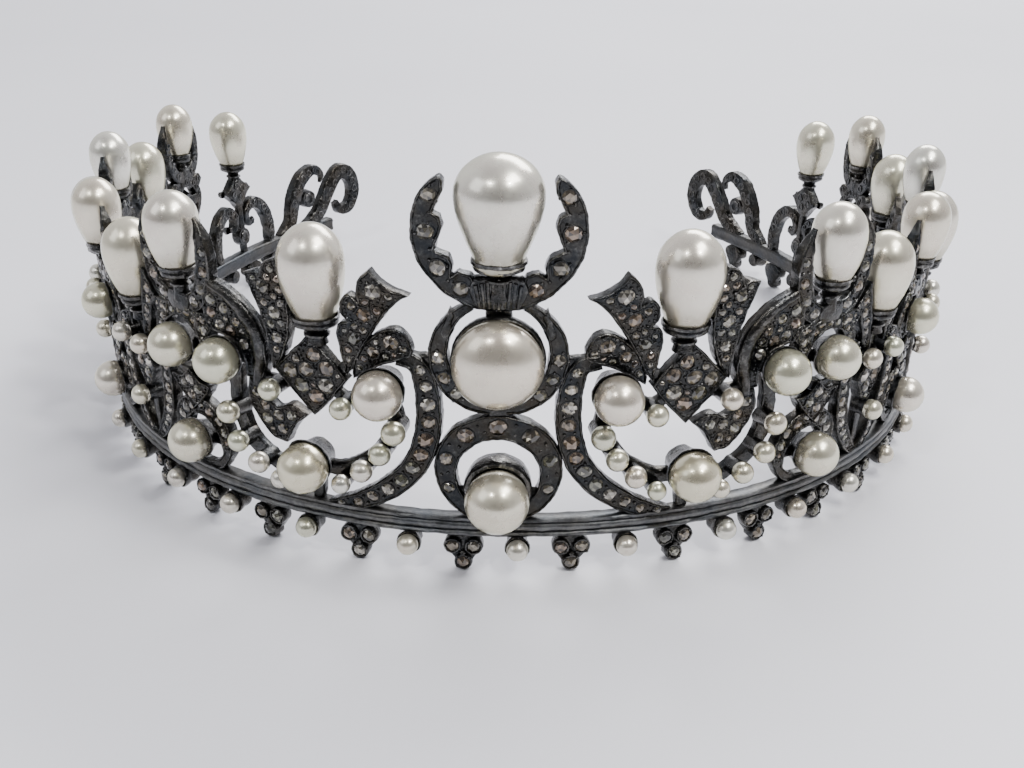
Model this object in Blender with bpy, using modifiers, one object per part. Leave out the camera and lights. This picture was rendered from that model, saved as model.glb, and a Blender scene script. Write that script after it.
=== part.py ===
"""An open-backed tiara of blackened silver with pearls, standing on its fringe.

The metalwork is drawn flat, in millimetres: X runs along the rail from the middle of the front,
Y is the height over the surface that the tiara stands on, and Z points outwards. All the drawn
pieces are joined into one soldered body, mirrored, and bent to the plan of the rail. The fringe
is laid out along the whole rail, a little off the middle. The pearls are placed on the bent
metal, each in a body of its own. The built model is in metres, +Z up, with its front towards -Y
and its origin in the middle of the surface that it stands on.
"""
import math

import bmesh
import bpy
import numpy as np
from mathutils import Matrix, Vector

MM = 0.001

# Plan of the rail: distance from the middle of the front, and the bend radius there, in mm.
PLAN_BEND = ((0, 79), (45, 67), (90, 66), (135, 133), (200, 133))
FLARE = 0.06
BEND_STEP = 10.0
LONG_FACE = 15.0
RAIL_END = 186.0

# The rail, in mm.
RAIL_MID = 7.2
RAIL_HEIGHT = 3.0
RAIL_THICK = 2.4
RAIL_GROOVE = 0.35

# The fringe, in mm: pearl cups and trefoils in turn, from a cup a little to the right of the middle.
# Its pitch at some distances from the middle is uneven, as on a piece laid out by hand.
FRINGE_START = 2.7
FRINGE_END = 183.0
FRINGE_PITCH = ((0, 7.6), (24, 7.6), (38, 6.1), (72, 6.2), (95, 7.4), (200, 7.4))
CUP_RADIUS = 1.6
CUP_ROOT = 2.1
CUP_HEIGHT = 4.4
CUP_BACK = -0.9
CUP_FRONT = 1.6
CUP_SIDES = 6
TREFOIL_HALF = ((0.9, 0.0), (1.2, 2.0), (2.8, 3.4), (2.6, 6.2))
TREFOIL_THICK = 1.9

# Thickness of the cast plate, and of the thinner strips, stems and links behind it, in mm.
PLATE_THICK = 2.0
STRIP_THICK = 1.4
STRIP_LEVEL = -0.1
STEM_THICK = 1.7
STEM_WIDTH = 1.7
SEAT_GAP = 0.3

# Drop pearls, as fractions of their height from the top and of their widest radius.
DROP_PROFILE = (
    (0.00, 0.00),
    (0.06, 0.50),
    (0.22, 0.91),
    (0.42, 1.00),
    (0.74, 0.86),
    (1.00, 0.52),
    (1.00, 0.00),
)
DROP_SIDES = 10
PEARL_SIDES = 10
PEARL_RINGS = 5
BUTTON_SIDES = 12
BUTTON_RINGS = 6
BUTTON_FLATTEN = 0.7

# Cups under the drops and collets behind the round pearls, as fractions of the pearl's radius.
DROP_CUP = dict(deep=0.85, foot=0.24, mouth=0.6, sides=8)
COLLET = dict(root=0.72, rim=0.8, sides=8)
COLLET_BACK = -1.05
COLLET_LEAST = 0.6

# The middle motif, in mm.
LOWER_RING = dict(height=16.0, outer=9.1, inner=5.8)
MIDDLE_RING = dict(height=33.9, outer=9.1, inner=6.9)
MIDDLE_RING_SIDES = (20, 14)
CRESCENT = dict(height=51.2, outer=10.9, width=4.1)
MIDDLE_DROP = dict(bottom=46.2, tall=15.0, radius=5.8)
MIDDLE_BUTTON = dict(height=33.9, radius=6.1)
LOWER_PEARL = dict(height=13.9, radius=4.4, out=5.2)
BAR_OVERLAP = 0.8
BUTTON_BAR_THICK = 1.1
BUTTON_BAR_LEVEL = -1.3
BUTTON_BAR_HALF = 1.6
LOW_BAR_LEVEL = -0.95

# A crescent's arc in degrees, and its width from one point to the other.
CRESCENT_START = 48
CRESCENT_END = -228
CRESCENT_WIDTHS = (0.12, 0.86, 1.0, 1.0, 1.05, 1.1, 1.05, 1.0, 1.0, 0.86, 0.12)

# The smaller crescent motifs: station along the rail, size, the drop, and the places of the
# button and the low pearl, as station and height over the rail.
CRESCENT_MOTIFS = (
    dict(name="side", station=48.0, size=1.0, drop_radius=3.9, drop_tall=11.6,
         button=(48.5, 21.5), low=(47.0, 6.4)),
    dict(name="flank", station=75.5, size=0.88, drop_radius=3.7, drop_tall=11.0,
         button=(73.8, 20.2), low=(74.0, 6.5)),
    dict(name="arm", station=108.5, size=0.86, drop_radius=3.6, drop_tall=11.0,
         button=(108.5, 18.5), low=(108.5, 5.8)),
    dict(name="rear", station=137.0, size=0.83, drop_radius=3.5, drop_tall=10.6,
         button=(137.0, 17.8), low=(137.0, 5.6)),
)

# A motif's rings and pearls at size 1, in mm.
MOTIF_PEARL = 3.3
MOTIF_RING = dict(outer=6.1, inner=3.9)
BUTTON_RING = dict(outer=5.9, inner=3.8)
RING_SIDES = (12, 6)

# The panels between them: station, width and height against the front panel, and the drop.
PANELS = (
    dict(name="side", station=61.0, wide=0.50, tall=0.83, drop_radius=4.1, drop_tall=12.4),
    dict(name="flank", station=91.5, wide=0.56, tall=0.78, drop_radius=4.0, drop_tall=12.2),
    dict(name="arm", station=123.0, wide=0.50, tall=0.72, drop_radius=4.0, drop_tall=12.0),
)
FRONT_PANEL = 25.5
FRONT_LOZENGE = 26.1
FRONT_DROP = dict(station=24.5, bottom=36.9, tall=13.6, radius=4.6)

# The front panel, drawn where it stands: distance along the rail, and height over the rail.
INNER_SCROLL = (
    (13.2, 25.6), (10.2, 24.4), (9.2, 20.5), (9.3, 15.0), (11.0, 9.6), (14.6, 5.2), (19.8, 2.0), (25.0, 0.6),
)
INNER_SCROLL_WIDTHS = (2.2, 3.2, 3.5, 3.5, 3.5, 3.4, 3.0, 1.6)
CURLED_LEAF = (
    (11.2, 26.0), (12.2, 28.6), (13.6, 29.6), (16.0, 28.4), (18.6, 25.4), (18.9, 22.4), (16.2, 23.6),
    (13.0, 24.9),
)
FLARED_LEAF = (
    (11.6, 35.0), (13.8, 35.9), (16.6, 37.8), (18.2, 35.2), (18.3, 33.4), (19.8, 34.0), (20.6, 31.8),
    (19.7, 30.2), (21.0, 29.8), (21.4, 27.6), (20.9, 24.2), (20.3, 21.2), (18.9, 24.4), (16.8, 28.6),
    (14.2, 32.2),
)
LOZENGE = (
    (25.5, 27.2), (28.6, 24.6), (31.0, 21.2), (28.4, 18.4), (25.5, 15.0), (22.6, 18.4), (20.0, 21.2),
    (22.4, 24.6),
)
WIDE_SCROLL = (
    (41.2, 32.6), (38.2, 31.6), (35.2, 29.2), (33.3, 25.6), (33.2, 21.4), (34.0, 18.4), (33.8, 16.4),
    (31.4, 15.4), (28.2, 14.2), (30.6, 11.6), (29.8, 9.0), (32.4, 8.0), (35.2, 9.6), (37.0, 12.4),
    (37.2, 15.2), (36.0, 18.4), (36.2, 21.6), (38.6, 25.0), (42.6, 26.4), (42.8, 30.0),
)
PEARL_STRIP = ((15.2, 19.0), (14.2, 14.2), (16.2, 10.6), (19.4, 7.4), (24.0, 6.6))
OUTER_STRIP = ((38.4, 20.6), (39.4, 13.6), (37.8, 8.6), (34.0, 5.4), (27.4, 6.6))
STRIP_WIDTHS = (2.2, 3.0, 3.0, 2.6, 2.0)

# Links that hold the front panel's pieces together: a line, its widths, its thickness and its level.
LEAF_FOOT = ((20.0, 23.0), (21.8, 21.4))
FRONT_LINKS = (
    (((17.0, 20.6), (20.6, 18.0), (23.0, 19.6)), (1.4, 1.6, 1.4), STRIP_THICK, 0.0),
    (((28.6, 19.6), (31.0, 19.0), (34.4, 19.0)), (1.4, 1.6, 1.4), STRIP_THICK, 0.0),
    (((34.6, 21.6), (38.4, 21.6), (43.6, 22.2)), (2.0, 2.4, 2.0), STRIP_THICK, -0.9),
    (LEAF_FOOT, (1.6, 1.6), STEM_THICK, 0.0),
    (tuple((2 * FRONT_PANEL - x, y) for x, y in LEAF_FOOT), (1.6, 1.6), STEM_THICK, 0.0),
    (((17.4, 24.8), (19.6, 24.0)), (1.6, 1.6), STEM_THICK, 0.0),
    (((13.2, 25.0), (13.9, 23.0)), (1.8, 1.8), STRIP_THICK, 0.0),
    (((7.6, 25.4), (11.8, 25.6)), (1.8, 1.8), STEM_THICK, 0.0),
    (((25.5, 8.0), (26.6, 0.4)), (2.0, 2.0), STEM_THICK, 0.0),
)

# Seats of the front panel's small pearls: place and radius. Then the round pearls with nodes.
SMALL_PEARLS = (
    (13.6, 15.2, 1.75), (15.6, 11.6, 1.6), (18.3, 8.6, 1.6), (21.4, 6.0, 1.4), (20.6, 18.0, 1.6),
    (31.0, 19.0, 1.6), (38.6, 13.6, 1.7), (37.4, 9.2, 1.6), (34.2, 6.6, 1.6), (30.9, 4.7, 1.4),
)
SMALL_PEARL_OUT = 2.8
SEAT_BACK = -0.75
SEAT_ROOT = 0.62
SEAT_RIM = 0.74
SEAT_SIDES = 6
ROUND_PEARLS = (
    dict(name="inner", place=(15.0, 21.4), radius=3.4, out=4.2),
    dict(name="low", place=(26.0, 8.4), radius=3.6, out=4.4),
    dict(name="outer", place=(38.9, 21.8), radius=3.3, out=3.4),
)

# A narrow panel, drawn at the front panel's size and made smaller.
PANEL_SCROLL = ((16.6, 24.6), (12.6, 22.6), (12.2, 16.0), (14.4, 9.4), (19.4, 4.0), (25.5, 0.8))
PANEL_SCROLL_WIDTHS = (1.4, 2.4, 2.6, 2.6, 2.4, 1.8)
PANEL_LEAF = ((11.8, 33.4), (15.2, 36.0), (18.4, 31.0), (20.4, 26.0), (20.4, 20.4), (16.6, 25.2))
PANEL_LINK = ((12.6, 21.4), (25.5, 21.0), (38.4, 21.4))
PANEL_LINK_WIDTHS = (1.7, 2.0, 1.7)
PANEL_STEM_TOP = 17.0
PANEL_CUP = 29.7

# The end cluster and scrolls: heights over the rail, the first two outlines from their station.
END_STATION = 155.5
END_DROP = dict(bottom=27.6, tall=11.8, radius=3.9)
END_LOZENGE = (
    (0, 18.6), (2.0, 16.6), (4.2, 15.2), (2.2, 13.4), (0, 10.8), (-2.2, 13.4), (-4.2, 15.2), (-2.0, 16.6),
)
END_CURL = ((9.0, 0.6), (9.4, 5.4), (7.6, 10.0), (4.0, 11.6), (1.6, 9.6), (2.8, 7.2))
END_CURL_WIDTHS = (2.0, 2.4, 2.4, 2.2, 1.9, 1.4)
END_STEM_TOP = 12.0
END_SEATS = ((155.5, 5.0, 2.0), (179.2, 7.6, 2.1))
HOOK = ((169.0, 0.8), (173.0, 3.4), (174.6, 8.0), (177.6, 12.4), (182.0, 14.2), (184.4, 12.4))
HOOK_WIDTHS = (1.6, 2.6, 3.0, 2.9, 2.2, 0.6)
HOOK_LINK = ((174.6, 7.4), (178.6, 7.6))
END_SCROLL = (
    (177.4, 0.8), (182.4, 3.4), (186.6, 8.6), (190.0, 11.8), (193.4, 10.6), (194.6, 6.6), (192.6, 2.8),
    (189.4, 2.6), (188.2, 4.4),
)
END_SCROLL_WIDTHS = (1.6, 2.6, 2.9, 2.9, 2.9, 2.9, 2.7, 2.2, 1.5)

SILVER = (0.085, 0.085, 0.088, 1.0)
PEARL = (0.86, 0.84, 0.80, 1.0)


def clear_scene():
    for old in list(bpy.data.objects):
        bpy.data.objects.remove(old, do_unlink=True)


def new_collection(name):
    group = bpy.data.collections.new(name)
    bpy.context.scene.collection.children.link(group)
    return group


def material(name, colour, metallic, roughness):
    look = bpy.data.materials.new(name)
    look.use_nodes = True
    shader = look.node_tree.nodes["Principled BSDF"]
    shader.inputs["Base Color"].default_value = colour
    shader.inputs["Metallic"].default_value = metallic
    shader.inputs["Roughness"].default_value = roughness
    return look


def plan_table():
    """The rail's plan: lengths, x, y and heading, from its bend radii."""
    lengths = np.linspace(0, PLAN_BEND[-1][0], 801)
    curvature = np.interp(lengths, [row[0] for row in PLAN_BEND], [1 / row[1] for row in PLAN_BEND])
    step = lengths[1]
    heading = np.concatenate([[0], np.cumsum((curvature[1:] + curvature[:-1]) / 2 * step)])
    along = np.cos(heading)
    back = np.sin(heading)
    x = np.concatenate([[0], np.cumsum((along[1:] + along[:-1]) / 2 * step)])
    y = np.concatenate([[0], np.cumsum((back[1:] + back[:-1]) / 2 * step)])
    return lengths, x, y, heading


PLAN = plan_table()


def bend(length, height, out):
    """A point of the flat drawing, on the bent and flared tiara, in metres."""
    lengths, xs, ys, headings = PLAN
    x = np.interp(abs(length), lengths, xs)
    y = np.interp(abs(length), lengths, ys)
    heading = np.interp(abs(length), lengths, headings)
    out = out + FLARE * max(height - RAIL_MID, 0)
    x = math.copysign(x + math.sin(heading) * out, length)
    y = y - math.cos(heading) * out
    return Vector((x * MM, y * MM, height * MM))


def smooth(points, steps):
    """A smooth open line through a few points, by Catmull-Rom pieces."""
    line = [Vector(point) for point in points]
    line = [2 * line[0] - line[1]] + line + [2 * line[-1] - line[-2]]
    result = []
    for index in range(1, len(line) - 2):
        p0, p1, p2, p3 = line[index - 1:index + 3]
        for step in range(steps):
            t = step / steps
            result.append(
                0.5 * ((2 * p1) + (p2 - p0) * t + (2 * p0 - 5 * p1 + 4 * p2 - p3) * t * t
                       + (3 * p1 - p0 - 3 * p2 + p3) * t ** 3)
            )
    result.append(line[-2])
    return result


def ribbon(points, widths, steps=1):
    """The outline of a band of changing width along a smooth line."""
    line = smooth(points, steps)
    at = np.linspace(0, 1, len(line))
    wide = np.interp(at, np.linspace(0, 1, len(widths)), widths)
    left, right = [], []
    for index, point in enumerate(line):
        before = line[max(index - 1, 0)]
        after = line[min(index + 1, len(line) - 1)]
        run = (after - before).normalized()
        side = Vector((-run.y, run.x)) * wide[index] / 2
        left.append(point + side)
        right.append(point - side)
    return left + right[::-1]


def circle(centre, radius, sides, turn=0.0):
    steps = [2 * math.pi * (index + turn) / sides for index in range(sides)]
    return [Vector((centre[0] + radius * math.cos(a), centre[1] + radius * math.sin(a))) for a in steps]


def arc_points(centre, radius, start, end, count):
    """Points on an arc, between two angles in degrees."""
    angles = [math.radians(start + (end - start) * index / (count - 1)) for index in range(count)]
    return [(centre[0] + radius * math.cos(a), centre[1] + radius * math.sin(a)) for a in angles]


class Drawing:
    """The flat drawing: a collection of closed pieces to be joined into one."""

    def __init__(self, group):
        self.group = group

    def add(self, mesh, name):
        piece = bpy.data.objects.new(name, mesh)
        piece.hide_render = True
        piece.display_type = "WIRE"
        self.group.objects.link(piece)
        return piece

    def plate(self, outlines, thick, out=0.0, name="plate"):
        """A flat plate from one outline and its holes, centred at a distance outwards."""
        curve = bpy.data.curves.new(name, "CURVE")
        curve.dimensions = "2D"
        curve.fill_mode = "BOTH"
        curve.extrude = thick / 2
        for outline in outlines:
            spline = curve.splines.new("POLY")
            spline.points.add(len(outline) - 1)
            for point, place in zip(spline.points, outline):
                point.co = (place[0], place[1], 0, 1)
            spline.use_cyclic_u = True
        holder = bpy.data.objects.new(name, curve)
        self.group.objects.link(holder)
        bpy.context.view_layer.update()
        graph = bpy.context.evaluated_depsgraph_get()
        mesh = bpy.data.meshes.new_from_object(holder.evaluated_get(graph))
        bpy.data.objects.remove(holder, do_unlink=True)
        work = bmesh.new()
        work.from_mesh(mesh)
        bmesh.ops.remove_doubles(work, verts=work.verts, dist=0.0001)
        bmesh.ops.translate(work, verts=work.verts, vec=(0, 0, out))
        bmesh.ops.recalc_face_normals(work, faces=work.faces)
        work.to_mesh(mesh)
        work.free()
        return self.add(mesh, name)

    def cone(self, centre, low, high, low_radius, high_radius, sides, upright=False, name="cone"):
        """A round piece from one level to another, outwards or upright."""
        work = bmesh.new()
        bmesh.ops.create_cone(work, cap_ends=True, segments=sides, radius1=low_radius,
                              radius2=high_radius, depth=high - low)
        bmesh.ops.translate(work, verts=work.verts, vec=(0, 0, (low + high) / 2))
        if upright:
            turn = Matrix.Rotation(-math.pi / 2, 4, "X")
            bmesh.ops.transform(work, matrix=turn, verts=work.verts)
            bmesh.ops.translate(work, verts=work.verts, vec=(centre[0], 0, centre[1]))
        else:
            bmesh.ops.translate(work, verts=work.verts, vec=(centre[0], centre[1], 0))
        mesh = bpy.data.meshes.new(name)
        work.to_mesh(mesh)
        work.free()
        return self.add(mesh, name)


def draw_rail(drawing):
    """The rail with its groove, drawn from the middle out to its right end."""
    half = RAIL_HEIGHT / 2
    face = RAIL_THICK / 2
    groove = face - RAIL_GROOVE
    profile = (
        (-half, -face), (half, -face), (half, face), (half * 0.3, face), (0, groove),
        (-half * 0.3, face), (-half, face),
    )
    start = -BEND_STEP
    work = bmesh.new()
    near = [work.verts.new((start, RAIL_MID + height, out)) for height, out in profile]
    ring = work.faces.new(near)
    grown = bmesh.ops.extrude_face_region(work, geom=[ring])
    far = [item for item in grown["geom"] if isinstance(item, bmesh.types.BMVert)]
    bmesh.ops.translate(work, verts=far, vec=(RAIL_END - start, 0, 0))
    bmesh.ops.recalc_face_normals(work, faces=work.faces)
    mesh = bpy.data.meshes.new("rail")
    work.to_mesh(mesh)
    work.free()
    return drawing.add(mesh, "rail")


def fringe_stations():
    """Stations along the rail, each with whether a pearl cup stands there."""
    result = []
    for way in (1, -1):
        station, cup = FRINGE_START, True
        while abs(station) < FRINGE_END:
            if way > 0 or station != FRINGE_START:
                result.append((station, cup))
            pitch = np.interp(abs(station), *zip(*FRINGE_PITCH))
            station, cup = station + way * float(pitch), not cup
    return result


def draw_fringe(drawing):
    """Pearl cups and trefoils in turn, under the rail. The trefoils' flat feet stand."""
    for station, cup in fringe_stations():
        if cup:
            drawing.cone((station, CUP_HEIGHT), CUP_BACK, CUP_FRONT, CUP_ROOT, CUP_RADIUS, CUP_SIDES,
                         name="fringe_cup")
        else:
            drawing.plate([trefoil(station)], TREFOIL_THICK, name="trefoil")


def trefoil(station):
    """Three stone seats in a close group, two above and one below with a flat foot."""
    right = [(station + x, y) for x, y in TREFOIL_HALF]
    left = [(station - x, y) for x, y in TREFOIL_HALF]
    return right + left[::-1]


def draw_crescent(drawing, centre, outer, width, sides):
    """An open crescent whose two arms end in points."""
    mid = outer - width / 2
    points = arc_points(centre, mid, CRESCENT_START, CRESCENT_END, sides)
    drawing.plate([ribbon(points, [width * share for share in CRESCENT_WIDTHS])], PLATE_THICK,
                  name="crescent")


def draw_cup(drawing, station, bottom, radius):
    """The cup under a drop pearl, whose foot stands in it."""
    floor = bottom - SEAT_GAP
    drawing.cone((station, 0), floor - radius * DROP_CUP["deep"], floor, radius * DROP_CUP["foot"],
                 radius * DROP_CUP["mouth"], DROP_CUP["sides"], True, "cup")


def draw_collet(drawing, centre, out, radius):
    """The round seat of a pearl, ending just short of the pearl's back."""
    front = max(out - radius - SEAT_GAP, COLLET_BACK + COLLET_LEAST)
    drawing.cone(centre, COLLET_BACK, front, radius * COLLET["root"], radius * COLLET["rim"],
                 COLLET["sides"], name="collet")


def draw_seat(drawing, centre, out, radius):
    """The tube that carries a small pearl."""
    front = out - SEAT_ROOT * radius
    drawing.cone(centre, SEAT_BACK, front, radius * SEAT_ROOT, radius * SEAT_RIM, SEAT_SIDES, name="seat")


def ring_outlines(centre, outer, inner, sides, inner_sides):
    return [circle(centre, outer, sides), circle(centre, inner, inner_sides)]


def cross_bar(station, height, reach, half):
    """The outline of a bar across a ring."""
    return [(station - reach, height - half), (station + reach, height - half),
            (station + reach, height + half), (station - reach, height + half)]


def draw_middle(drawing):
    """The middle motif: two rings and a crescent, one over the other."""
    for ring in (LOWER_RING, MIDDLE_RING):
        outlines = ring_outlines((0, ring["height"]), ring["outer"], ring["inner"],
                                 *MIDDLE_RING_SIDES)
        drawing.plate(outlines, PLATE_THICK, name="ring")
    draw_crescent(drawing, (0, CRESCENT["height"]), CRESCENT["outer"], CRESCENT["width"], 15)
    draw_cup(drawing, 0, MIDDLE_DROP["bottom"], MIDDLE_DROP["radius"])
    draw_collet(drawing, (0, LOWER_PEARL["height"]), LOWER_PEARL["out"], LOWER_PEARL["radius"])
    bar = cross_bar(0, MIDDLE_RING["height"], MIDDLE_RING["inner"] + BAR_OVERLAP, BUTTON_BAR_HALF)
    drawing.plate([bar], BUTTON_BAR_THICK, BUTTON_BAR_LEVEL, name="button_bar")
    bar = cross_bar(0, LOWER_PEARL["height"], LOWER_RING["inner"] + BAR_OVERLAP, 1.2)
    drawing.plate([bar], STRIP_THICK, name="pearl_bar")


def at_panel(centre, wide, tall, points):
    """Points of the front panel's drawing, moved to a station and made smaller."""
    return [(centre + (x - FRONT_PANEL) * wide, RAIL_MID + y * tall) for x, y in points]


def mirrored(points):
    return [(2 * FRONT_PANEL - x, y) for x, y in points]


def draw_front_panel(drawing):
    """The panel beside the middle: scrolls, leaves, a lozenge and the seats of its pearls."""
    def place(points):
        return at_panel(FRONT_PANEL, 1, 1, points)

    drawing.plate([ribbon(place(INNER_SCROLL), INNER_SCROLL_WIDTHS, 2)], PLATE_THICK, name="scroll")
    for outline in (CURLED_LEAF, FLARED_LEAF, mirrored(FLARED_LEAF), WIDE_SCROLL):
        drawing.plate([place(outline)], PLATE_THICK, name="leaf")
    drawing.plate([at_panel(FRONT_LOZENGE, 1, 1, LOZENGE)], PLATE_THICK, name="lozenge")
    for line in (PEARL_STRIP, OUTER_STRIP):
        drawing.plate([ribbon(place(line), STRIP_WIDTHS)], STRIP_THICK, STRIP_LEVEL, name="strip")
    for line, widths, thick, level in FRONT_LINKS:
        drawing.plate([ribbon(place(line), widths)], thick, level, name="link")
    for x, y, radius in SMALL_PEARLS:
        draw_seat(drawing, place([(x, y)])[0], SMALL_PEARL_OUT, radius)
    for pearl in ROUND_PEARLS:
        draw_collet(drawing, place([pearl["place"]])[0], pearl["out"], pearl["radius"])
    draw_cup(drawing, FRONT_DROP["station"], FRONT_DROP["bottom"], FRONT_DROP["radius"])


def draw_crescent_motif(drawing, motif):
    """A smaller middle motif: a ring behind each of its two pearls, and a crescent with its cup."""
    station, size = motif["station"], motif["size"]
    levels = motif_levels(motif)
    low, mid = levels["low"], levels["mid"]
    for place, ring, level in ((low, MOTIF_RING, LOW_BAR_LEVEL), (mid, BUTTON_RING, BUTTON_BAR_LEVEL)):
        outer, inner = ring["outer"] * size, ring["inner"] * size
        drawing.plate(ring_outlines(place, outer, inner, *RING_SIDES), PLATE_THICK, name="small_ring")
        bar = cross_bar(*place, inner + BAR_OVERLAP, BUTTON_BAR_HALF * size)
        drawing.plate([bar], BUTTON_BAR_THICK, level, name="bar")
    middle = (low[0] + mid[0]) / 2
    waist = [(low[0], low[1] + 5.2 * size, 1.7), (middle, (low[1] + mid[1]) / 2 + 0.3, 3.4),
             (mid[0], mid[1] - 4.6 * size, 1.7)]
    right = [(x + wide, y) for x, y, wide in waist]
    left = [(x - wide, y) for x, y, wide in waist]
    drawing.plate([right + left[::-1]], PLATE_THICK, name="neck")
    draw_crescent(drawing, (station, levels["top"]), 7.2 * size, 2.4 * size, 8)
    draw_cup(drawing, station, levels["drop"], motif["drop_radius"])


def motif_levels(motif):
    """Places of a motif's low ring and button, and heights of its crescent and drop."""
    size = motif["size"]
    return dict(
        low=(motif["low"][0], RAIL_MID + motif["low"][1]),
        mid=(motif["button"][0], RAIL_MID + motif["button"][1]),
        top=RAIL_MID + 33.4 * size,
        drop=RAIL_MID + 32.4 * size,
    )


def draw_panel(drawing, panel):
    """A narrow panel of the arms: two scrolls, two leaves, a lozenge and a cup."""
    station, wide, tall = panel["station"], panel["wide"], panel["tall"]

    def place(points):
        return at_panel(station, wide, tall, points)

    for side in (PANEL_SCROLL, mirrored(PANEL_SCROLL)):
        drawing.plate([ribbon(place(side), PANEL_SCROLL_WIDTHS)], PLATE_THICK, name="scroll")
    for side in (PANEL_LEAF, mirrored(PANEL_LEAF), LOZENGE[::2]):
        drawing.plate([place(side)], PLATE_THICK, name="leaf")
    drawing.plate([ribbon(place(PANEL_LINK), PANEL_LINK_WIDTHS)], STRIP_THICK, name="link")
    stem = (station, RAIL_MID), (station, RAIL_MID + PANEL_STEM_TOP * tall)
    drawing.plate([ribbon(stem, (STEM_WIDTH, STEM_WIDTH))], STEM_THICK, name="stem")
    draw_cup(drawing, station, RAIL_MID + PANEL_CUP * tall, panel["drop_radius"])


def draw_end(drawing):
    """The end cluster under the last drop, and the open scrolls that end the arm."""
    def place(points, station=0.0, side=1):
        return [(station + side * x, RAIL_MID + y) for x, y in points]

    drawing.plate([place(END_LOZENGE, END_STATION)], PLATE_THICK, name="lozenge")
    draw_cup(drawing, END_STATION, END_DROP["bottom"], END_DROP["radius"])
    for side in (-1, 1):
        curl = place(END_CURL, END_STATION, side)
        drawing.plate([ribbon(curl, END_CURL_WIDTHS, 2)], PLATE_THICK, name="curl")
    for x, y, radius in END_SEATS:
        drawing.plate([circle((x, RAIL_MID + y), radius, 12)], PLATE_THICK, name="bead_seat")
    stem = place(((0.0, END_STEM_TOP), (0.0, 0.0)), END_STATION)
    drawing.plate([ribbon(stem, (STEM_WIDTH, STEM_WIDTH))], STEM_THICK, name="stem")
    drawing.plate([ribbon(place(HOOK), HOOK_WIDTHS, 2)], PLATE_THICK, name="hook")
    drawing.plate([ribbon(place(HOOK_LINK), (STEM_WIDTH, STEM_WIDTH))], STEM_THICK, name="link")
    drawing.plate([ribbon(place(END_SCROLL), END_SCROLL_WIDTHS, 2)], PLATE_THICK, name="end_scroll")


def union_with(rail, group):
    """Join the pieces of a collection to the rail."""
    joined = rail.modifiers.new("join", "BOOLEAN")
    joined.operation = "UNION"
    joined.operand_type = "COLLECTION"
    joined.collection = group
    joined.solver = "EXACT"


def join_drawing(rail, half_group, whole_group):
    """One solid: the right half's pieces, mirrored to the left, and then the whole fringe."""
    union_with(rail, half_group)
    mirror = rail.modifiers.new("mirror", "MIRROR")
    mirror.use_axis = (True, False, False)
    mirror.use_bisect_axis = (True, False, False)
    mirror.use_clip = True
    mirror.merge_threshold = 0.0001
    union_with(rail, whole_group)
    bpy.context.view_layer.update()
    graph = bpy.context.evaluated_depsgraph_get()
    return bpy.data.meshes.new_from_object(rail.evaluated_get(graph))


def cut_long_faces(work):
    """Cut the faces that run far along the rail at even steps, so that they can bend with it."""
    count = int(RAIL_END / BEND_STEP) + 1
    for index in range(-count, count):
        cut = (index + 0.5) * BEND_STEP
        faces = []
        for face in work.faces:
            reach = [vert.co.x for vert in face.verts]
            if min(reach) < cut < max(reach) and max(reach) - min(reach) > LONG_FACE:
                faces.append(face)
        edges = {edge for face in faces for edge in face.edges}
        verts = {vert for face in faces for vert in face.verts}
        geometry = list(verts) + list(edges) + faces
        bmesh.ops.bisect_plane(work, geom=geometry, dist=0.0005, plane_co=(cut, 0, 0), plane_no=(1, 0, 0))


def bend_mesh(mesh):
    """Clear the flat solid of needless edges, then bend it to the plan of the rail."""
    work = bmesh.new()
    work.from_mesh(mesh)
    bmesh.ops.remove_doubles(work, verts=work.verts, dist=0.0005)
    bmesh.ops.dissolve_limit(work, angle_limit=math.radians(0.5), verts=work.verts[:], edges=work.edges[:],
                             delimit=set())
    cut_long_faces(work)
    bmesh.ops.triangulate(work, faces=work.faces[:])
    for vert in work.verts:
        vert.co = bend(*vert.co)
    work.to_mesh(mesh)
    work.free()
    mesh.update()
    return mesh


def frame_of(length, height, out):
    """Where a pearl stands on the bent tiara, and the way that it leans."""
    place = bend(length, height, out)
    heading = float(np.interp(abs(length), PLAN[0], PLAN[3]))
    heading = math.copysign(heading, length)
    lean = math.atan(FLARE)
    return Matrix.Translation(place) @ Matrix.Rotation(heading, 4, "Z") @ Matrix.Rotation(lean, 4, "X")


def drop_pearl(name, length, bottom, tall, radius, look, group):
    """A drop pearl, turned from its profile and standing over its cup."""
    mesh = bpy.data.meshes.new(name)
    work = bmesh.new()
    line = [work.verts.new((share * radius * MM, 0, (1 - down) * tall * MM)) for down, share in DROP_PROFILE]
    for upper, lower in zip(line, line[1:]):
        work.edges.new((upper, lower))
    work.to_mesh(mesh)
    work.free()
    pearl = bpy.data.objects.new(name, mesh)
    group.objects.link(pearl)
    turn = pearl.modifiers.new("turn", "SCREW")
    turn.axis = "Z"
    turn.steps = DROP_SIDES
    turn.render_steps = DROP_SIDES
    turn.use_merge_vertices = True
    turn.merge_threshold = 0.00001
    pearl.matrix_world = frame_of(length, bottom, 0)
    mesh.materials.append(look)
    return pearl


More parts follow.
